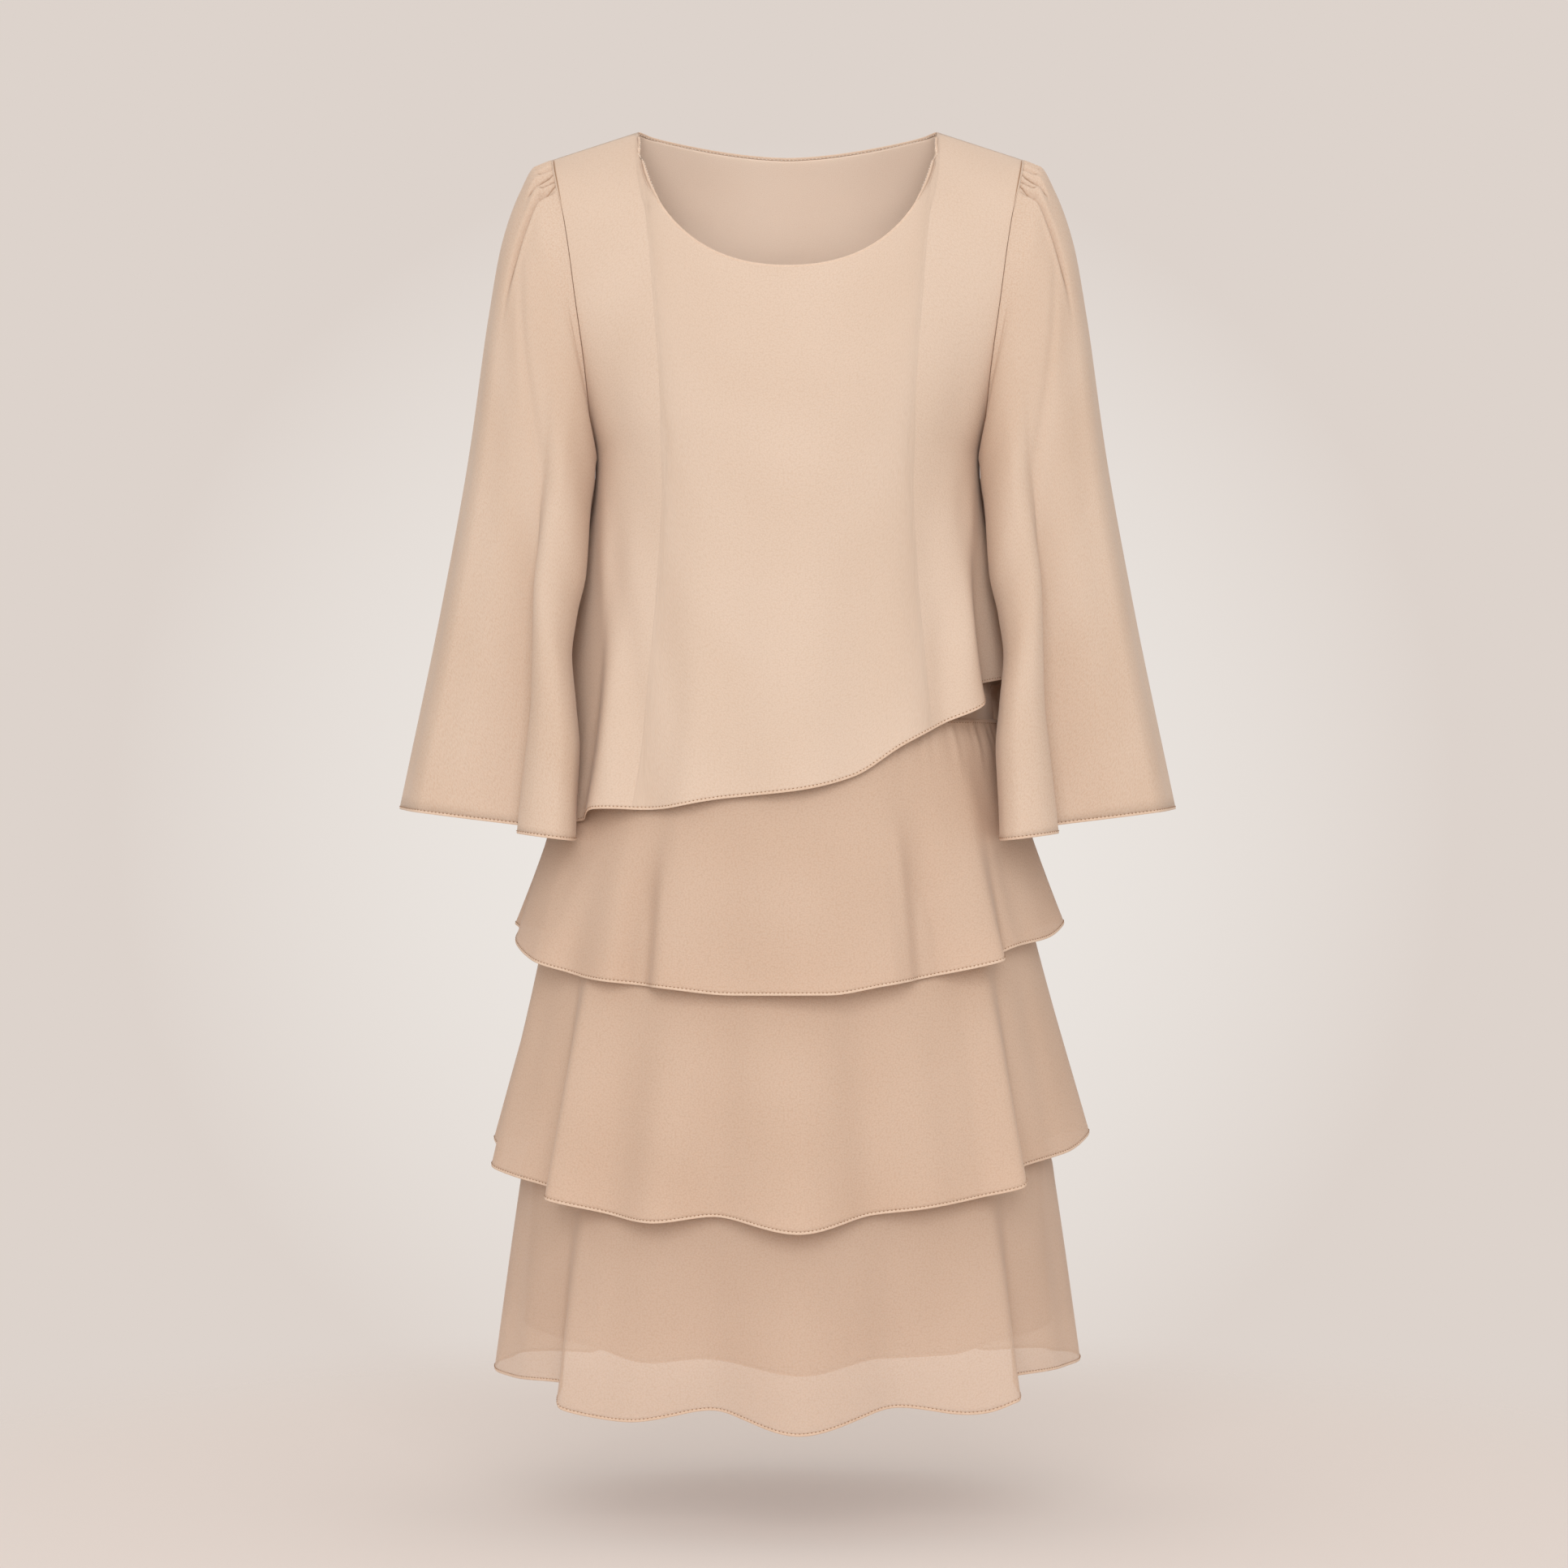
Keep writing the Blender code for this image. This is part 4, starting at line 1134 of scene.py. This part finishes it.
def lining(settings):
    """Polyester lining taffeta, calendered: denser and smoother than the chiffon, and a little deeper."""
    name = "polyester lining, calendered"
    found = bpy.data.materials.get(name)
    # The real threads are about 0.12 mm apart, and are drawn coarser so that they show
    return found or woven_material(
        name, tuple(settings.lining_colour), from_hex(LINING_SHADE),
        LINING_GRAIN, LINING_OPENNESS, LINING_GLOW,
    )


def thread(settings, pale):
    """Spun polyester thread: matt and slightly fuzzy, with a fine twist."""
    name = "spun polyester sewing thread, " + ("pale" if pale else "tan")
    found = bpy.data.materials.get(name)
    if found:
        return found
    colour = from_hex(PALE_THREAD) if pale else tuple(settings.thread_colour)
    material, add = blank_material(name)
    place = add("ShaderNodeTexCoord").outputs["Object"]
    twist = add("ShaderNodeTexNoise", {"Vector": place, "Scale": 1.0 / TWIST, "Detail": 1.0})
    dark = [0.8 * c for c in colour]
    tint = add("ShaderNodeMix", {0: twist, 6: (*colour, 1.0), 7: (*dark, 1.0)}, data_type="RGBA")
    bump = add("ShaderNodeBump", {"Strength": 0.3, "Distance": 0.00004, "Height": twist})
    shader = add(
        "ShaderNodeBsdfPrincipled",
        {"Base Color": tint.outputs[2], "Normal": bump, "Roughness": 0.7, "Sheen Weight": 0.2},
    )
    add("ShaderNodeOutputMaterial", {"Surface": shader})
    return material


def size(name, description, default, unit="LENGTH"):
    return bpy.props.FloatProperty(
        name=name, description=description, default=default, unit=unit, precision=5
    )


def colour(name, description, code):
    return bpy.props.FloatVectorProperty(
        name=name, description=description, default=from_hex(code), subtype="COLOR"
    )


class DressCloth(bpy.types.PropertyGroup):
    """Sizes and colours of the cloth and its sewing."""

    chiffon_thickness: size("Chiffon thickness", "Thickness of one layer of crepe chiffon", 0.0004)
    lining_thickness: size("Lining thickness", "Thickness of the lining", 0.0003)
    grain: size("Grain", "Width of one pebble of the crepe grain", 0.0015)
    bodice_colour: colour("Bodice", "Colour of the outer bodice", "ECD6C4")
    sleeve_colour: colour("Sleeves", "Colour of the sleeves", "EDD8C6")
    tier_colour: colour("Tiers", "Colour of the tiers", "EAD1BD")
    lowest_colour: colour("Lowest tier", "Colour of the sheerest tier", "ECD6C4")
    lining_colour: colour("Lining", "Colour of the lining", "F2E0D0")
    thread_colour: colour("Thread", "Colour of the sewing thread", "A67C5A")
    hem_height: size("Hem height", "Height of the rolled hems", 0.0023)
    hem_thickness: size("Hem thickness", "Thickness of the rolled hems", 0.0008)
    stitch_pitch: size("Stitch pitch", "Distance from one stitch to the next", 0.0030)
    stitch_length: size("Stitch length", "Length of the thread that shows in a stitch", 0.0016)
    thread_width: size("Thread width", "Width of the sewing thread", 0.00075)


class DressStage(bpy.types.PropertyGroup):
    """Sizes, colours and strengths of the studio."""

    floor_z: size("Floor height", "Height of the floor", -1.044)
    floor_radius: size("Floor radius", "Radius at which the floor has faded out", 1.0)
    camera_distance: size("Camera distance", "Distance of the camera in front of the dress", 3.0)
    backdrop_colour: colour("Backdrop", "Colour of the backdrop away from the dress", "DDD3CC")
    glow_colour: colour("Backdrop glow", "Colour of the backdrop behind the dress", "EDE8E3")
    floor_colour: colour("Floor", "Colour of the floor", "C4BBB6")
    ambient: size("Ambient light", "Strength of the light from all round", 0.74, "NONE")
    key_power: size("Key light", "Power of the large soft light in front", 76.0, "POWER")
    top_power: size("Top light", "Power of the soft light overhead", 6.0, "POWER")
    inner_power: size("Reflector", "Power of the light on the inside of the back lining", 8.0, "POWER")


def rolled_edge(
    name, grid, settings, closed=False, outside=1.0, height=None, thickness=None, lift=None
):
    """A narrow rolled and turned edge along the last row of a grid."""
    height = height or settings.hem_height
    lift = -0.5 * settings.chiffon_thickness if lift is None else lift
    line, away = line_on_cloth(grid, HEM_CENTRE * height, lift, closed, outside)
    sizes = {"Height": height, "Thickness": thickness or settings.hem_thickness}
    return run_on_line(
        tree_named("rolled edge", rolled_edge_tree), name, line, away, closed,
        {**sizes, "Cloth": chiffon("hem", settings)},
    )


def stitched_line(name, grid, distance, settings, closed=False, outside=1.0, lift=None, pale=False):
    """A row of stitches at a distance from the last row of a grid."""
    lift = 0.5 * settings.hem_thickness - STITCH_SINK if lift is None else lift
    line, away = line_on_cloth(grid, distance, lift, closed, outside)
    sizes = {"Pitch": settings.stitch_pitch, "Length": settings.stitch_length, "Width": settings.thread_width}
    return run_on_line(
        tree_named("stitches", stitch_tree), name, line, away, closed,
        {**sizes, "Thread": thread(settings, pale)},
    )


def dress_piece(node, grid, material, thickness, settings, closed=False):
    """A cut piece with its hem and its stitches, which stands for its solid."""
    piece = cloth_shell(node + "_cut", grid, material, thickness, closed)
    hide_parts(node)
    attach(piece, "root")
    hem = rolled_edge(node + "_hem", grid, settings, closed)
    stitches = stitched_line(
        node + "_hem_stitches", grid, HEM_STITCHES * settings.hem_height, settings, closed
    )


@cache
def bodice(name, front):
    if name == "slip":
        return bodice_grid(SLIP_HEM, slip_offset, LINING_SETBACK, front)
    return bodice_grid(OVERLAY_HEM, overlay_offset, 0.0, front)


def neckline(grid):
    """The neck columns of a bodice grid, turned so that its last row is the neckline."""
    return grid[ARMHOLE_ROWS // 3 :: -1, SHOULDER_COLUMNS + 1 : SHOULDER_COLUMNS + NECK_COLUMNS]


class DRESS_OT_slip(bpy.types.Operator):
    """Makes the lining slip that the tiers are sewn to"""

    bl_idname = "dress.slip"
    bl_label = "Lining slip"

    def execute(self, context):
        settings = context.scene.dress_cloth
        for side, front in SIDES:
            dress_piece(
                "slip_" + side, bodice("slip", front), lining(settings), settings.lining_thickness,
                settings,
            )
        return {"FINISHED"}


class DRESS_OT_tiers(bpy.types.Operator):
    """Makes the three gathered tiers"""

    bl_idname = "dress.tiers"
    bl_label = "Tiers"

    def execute(self, context):
        settings = context.scene.dress_cloth
        for index, tier in enumerate(TIERS):
            cloth = chiffon("lowest" if index == len(TIERS) - 1 else "tier", settings)
            for side, front in SIDES:
                node = f"{tier.name}_{side}"
                grid = tier_grid(index, front)
                seam = stitched_line(
                    node + "_seam_stitches", grid[TIER_ROWS // 3 :: -1], SEAM_STITCH_DISTANCE, settings,
                    outside=-1.0, lift=STITCH_SINK,
                )
                dress_piece(
                    node, grid, cloth, settings.chiffon_thickness,
                    settings,
                )
        return {"FINISHED"}


class DRESS_OT_bodice(bpy.types.Operator):
    """Makes the loose outer bodice with its slanted hem and its clean neck edge"""

    bl_idname = "dress.bodice"
    bl_label = "Outer bodice"

    def execute(self, context):
        settings = context.scene.dress_cloth
        for side, front in SIDES:
            grid = bodice("overlay", front)
            node = "overlay_" + side
            neck = rolled_edge(
                node + "_neck_edge", neckline(grid), settings, outside=-1.0,
                height=NECK_ROLL_HEIGHT, thickness=NECK_ROLL_THICKNESS, lift=NECK_ROLL_LIFT,
            )
            # A fine pale row of stitches follows the inside of the neckline
            stitches = stitched_line(
                node + "_neck_stitches", neckline(grid), NECK_STITCH_DISTANCE, settings,
                outside=-1.0, lift=NECK_STITCH_LIFT, pale=True,
            )
            dress_piece(
                node, grid, chiffon("bodice", settings), settings.chiffon_thickness,
                settings,
            )
        return {"FINISHED"}


class DRESS_OT_sleeves(bpy.types.Operator):
    """Makes the flared sleeves, gathered at the top"""

    bl_idname = "dress.sleeves"
    bl_label = "Sleeves"

    def execute(self, context):
        settings = context.scene.dress_cloth
        sleeve = sleeve_grid(armhole_edge(bodice("overlay", True), bodice("overlay", False)))
        left = kept_clear(sleeve, 1.0)[:, ::-1]
        right = kept_clear(sleeve, -1.0) * np.array([-1.0, 1.0, 1.0])
        for side, grid in (("left", left), ("right", right)):
            dress_piece(
                "sleeve_" + side, grid, chiffon("sleeve", settings), settings.chiffon_thickness,
                settings, closed=True,
            )
        return {"FINISHED"}


def soft_light(name, power):
    """A large square lamp that the camera doesn't see."""
    place, target, size = LAMPS[name]
    light = bpy.data.lights.new(name, "AREA")
    light.shape = "SQUARE"
    light.size = size
    light.energy = power
    light.color = LAMP_COLOUR
    lamp = new_object(name, light)
    lamp.location = place
    lamp.rotation_euler = (Vector(target) - Vector(place)).to_track_quat("-Z", "Y").to_euler()
    lamp.visible_camera = False
    return lamp


def paper_material(colour, radius):
    """Matt seamless paper: no gloss and a faint pulp grain. It fades out into the backdrop."""
    material, add = blank_material("seamless backdrop paper")
    place = add("ShaderNodeTexCoord").outputs["Object"]
    pulp = add("ShaderNodeTexNoise", {"Vector": place, "Scale": PULP_SCALE, "Detail": 2.0})
    paler = [min(1.0, 1.02 * c) for c in colour]
    tint = add("ShaderNodeMix", {0: pulp, 6: (*colour, 1.0), 7: (*paler, 1.0)}, data_type="RGBA")
    paper = add(
        "ShaderNodeBsdfPrincipled",
        {
            "Base Color": tint.outputs[2], "Roughness": 0.95, "Specular IOR Level": 0.0,
            "Emission Color": (*colour, 1.0), "Emission Strength": FLOOR_GLOW,
        },
    )
    out = add("ShaderNodeVectorMath", {0: place}, operation="LENGTH").outputs["Value"]
    fade = add(
        "ShaderNodeMapRange", {"Value": out, "From Min": 0.5 * radius, "From Max": radius},
        interpolation_type="SMOOTHSTEP",
    )
    clear = add("ShaderNodeBsdfTransparent")
    surface = add("ShaderNodeMixShader", {0: fade, 1: paper, 2: clear})
    add("ShaderNodeOutputMaterial", {"Surface": surface})
    return material


def backdrop_world(settings):
    """A pale backdrop with a soft glow behind the dress, which lights the dress evenly from all round."""
    world = bpy.data.worlds.new("pale backdrop")
    world.use_nodes = True
    world.node_tree.nodes.clear()
    add = partial(add_node, world.node_tree)
    way = add("ShaderNodeTexCoord").outputs["Generated"]
    facing = add("ShaderNodeVectorMath", {0: way, 1: GLOW_WAY}, operation="DOT_PRODUCT")
    share = add(
        "ShaderNodeMapRange", {"Value": facing.outputs["Value"], "From Min": GLOW_EDGE, "From Max": 1.0}
    )
    seen = add(
        "ShaderNodeMix",
        {0: share, 6: (*settings.backdrop_colour, 1.0), 7: (*settings.glow_colour, 1.0)}, data_type="RGBA",
    ).outputs[2]
    backdrop = add("ShaderNodeBackground", {"Color": seen, "Strength": 1.0})
    room = add("ShaderNodeBackground", {"Color": ROOM_COLOUR, "Strength": settings.ambient})
    direct = add("ShaderNodeLightPath").outputs["Is Camera Ray"]
    surface = add("ShaderNodeMixShader", {0: direct, 1: room, 2: backdrop})
    add("ShaderNodeOutputWorld", {"Surface": surface})
    return world


class DRESS_OT_stage(bpy.types.Operator):
    """Makes the floor, the backdrop, the lights and the camera"""

    bl_idname = "dress.stage"
    bl_label = "Stage"

    def execute(self, context):
        settings = context.scene.dress_stage
        turns = np.radians(np.linspace(0.0, 360.0, FLOOR_SIDES, endpoint=False))
        rim = [(settings.floor_radius * math.cos(t), settings.floor_radius * math.sin(t), 0.0) for t in turns]
        mesh = bpy.data.meshes.new("floor")
        mesh.from_pydata(rim, [], [list(range(len(rim)))])
        mesh.materials.append(paper_material(tuple(settings.floor_colour), settings.floor_radius))
        floor = new_object("floor", mesh)
        floor.location.z = settings.floor_z
        context.scene.world = backdrop_world(settings)
        soft_light("key", settings.key_power)
        soft_light("overhead", settings.top_power)
        # A low reflector lifts the inside of the back lining alone
        reflector = soft_light("reflector", settings.inner_power)
        lit = bpy.data.collections.new("lit by the reflector")
        lit.objects.link(bpy.data.objects["slip_back_cut"])
        reflector.light_linking.receiver_collection = lit
        lens = bpy.data.cameras.new("camera")
        lens.lens = CAMERA_LENS
        lens.sensor_width = SENSOR_WIDTH
        camera = new_object("camera", lens)
        camera.location = (CAMERA_X, -settings.camera_distance, CAMERA_Z)
        camera.rotation_euler = (math.pi / 2, 0.0, 0.0)
        context.scene.camera = camera
        context.scene.view_settings.view_transform = "Standard"
        return {"FINISHED"}


class DRESS_PT_panel(bpy.types.Panel):
    """Lists the dress's sizes and colours, and what makes each piece"""

    bl_idname = "DRESS_PT_panel"
    bl_label = "Ruffle Dress"
    bl_space_type = "VIEW_3D"
    bl_region_type = "UI"
    bl_category = "Dress"

    def draw(self, context):
        for group in (context.scene.dress_cloth, context.scene.dress_stage):
            for name in group.__annotations__:
                self.layout.prop(group, name)
        for operator in OPERATORS:
            self.layout.operator(operator.bl_idname)


OPERATORS = (DRESS_OT_slip, DRESS_OT_tiers, DRESS_OT_bodice, DRESS_OT_sleeves, DRESS_OT_stage)
CLASSES = (DressCloth, DressStage, *OPERATORS, DRESS_PT_panel)


def register():
    for item in CLASSES:
        bpy.utils.register_class(item)
    bpy.types.Scene.dress_cloth = bpy.props.PointerProperty(type=DressCloth)
    bpy.types.Scene.dress_stage = bpy.props.PointerProperty(type=DressStage)


def unregister():
    del bpy.types.Scene.dress_stage
    del bpy.types.Scene.dress_cloth
    for item in reversed(CLASSES):
        bpy.utils.unregister_class(item)


def main():
    register()
    bpy.ops.dress.slip()
    bpy.ops.dress.tiers()
    bpy.ops.dress.bodice()
    bpy.ops.dress.sleeves()
    bpy.ops.dress.stage()


if __name__ == "__main__":
    main()
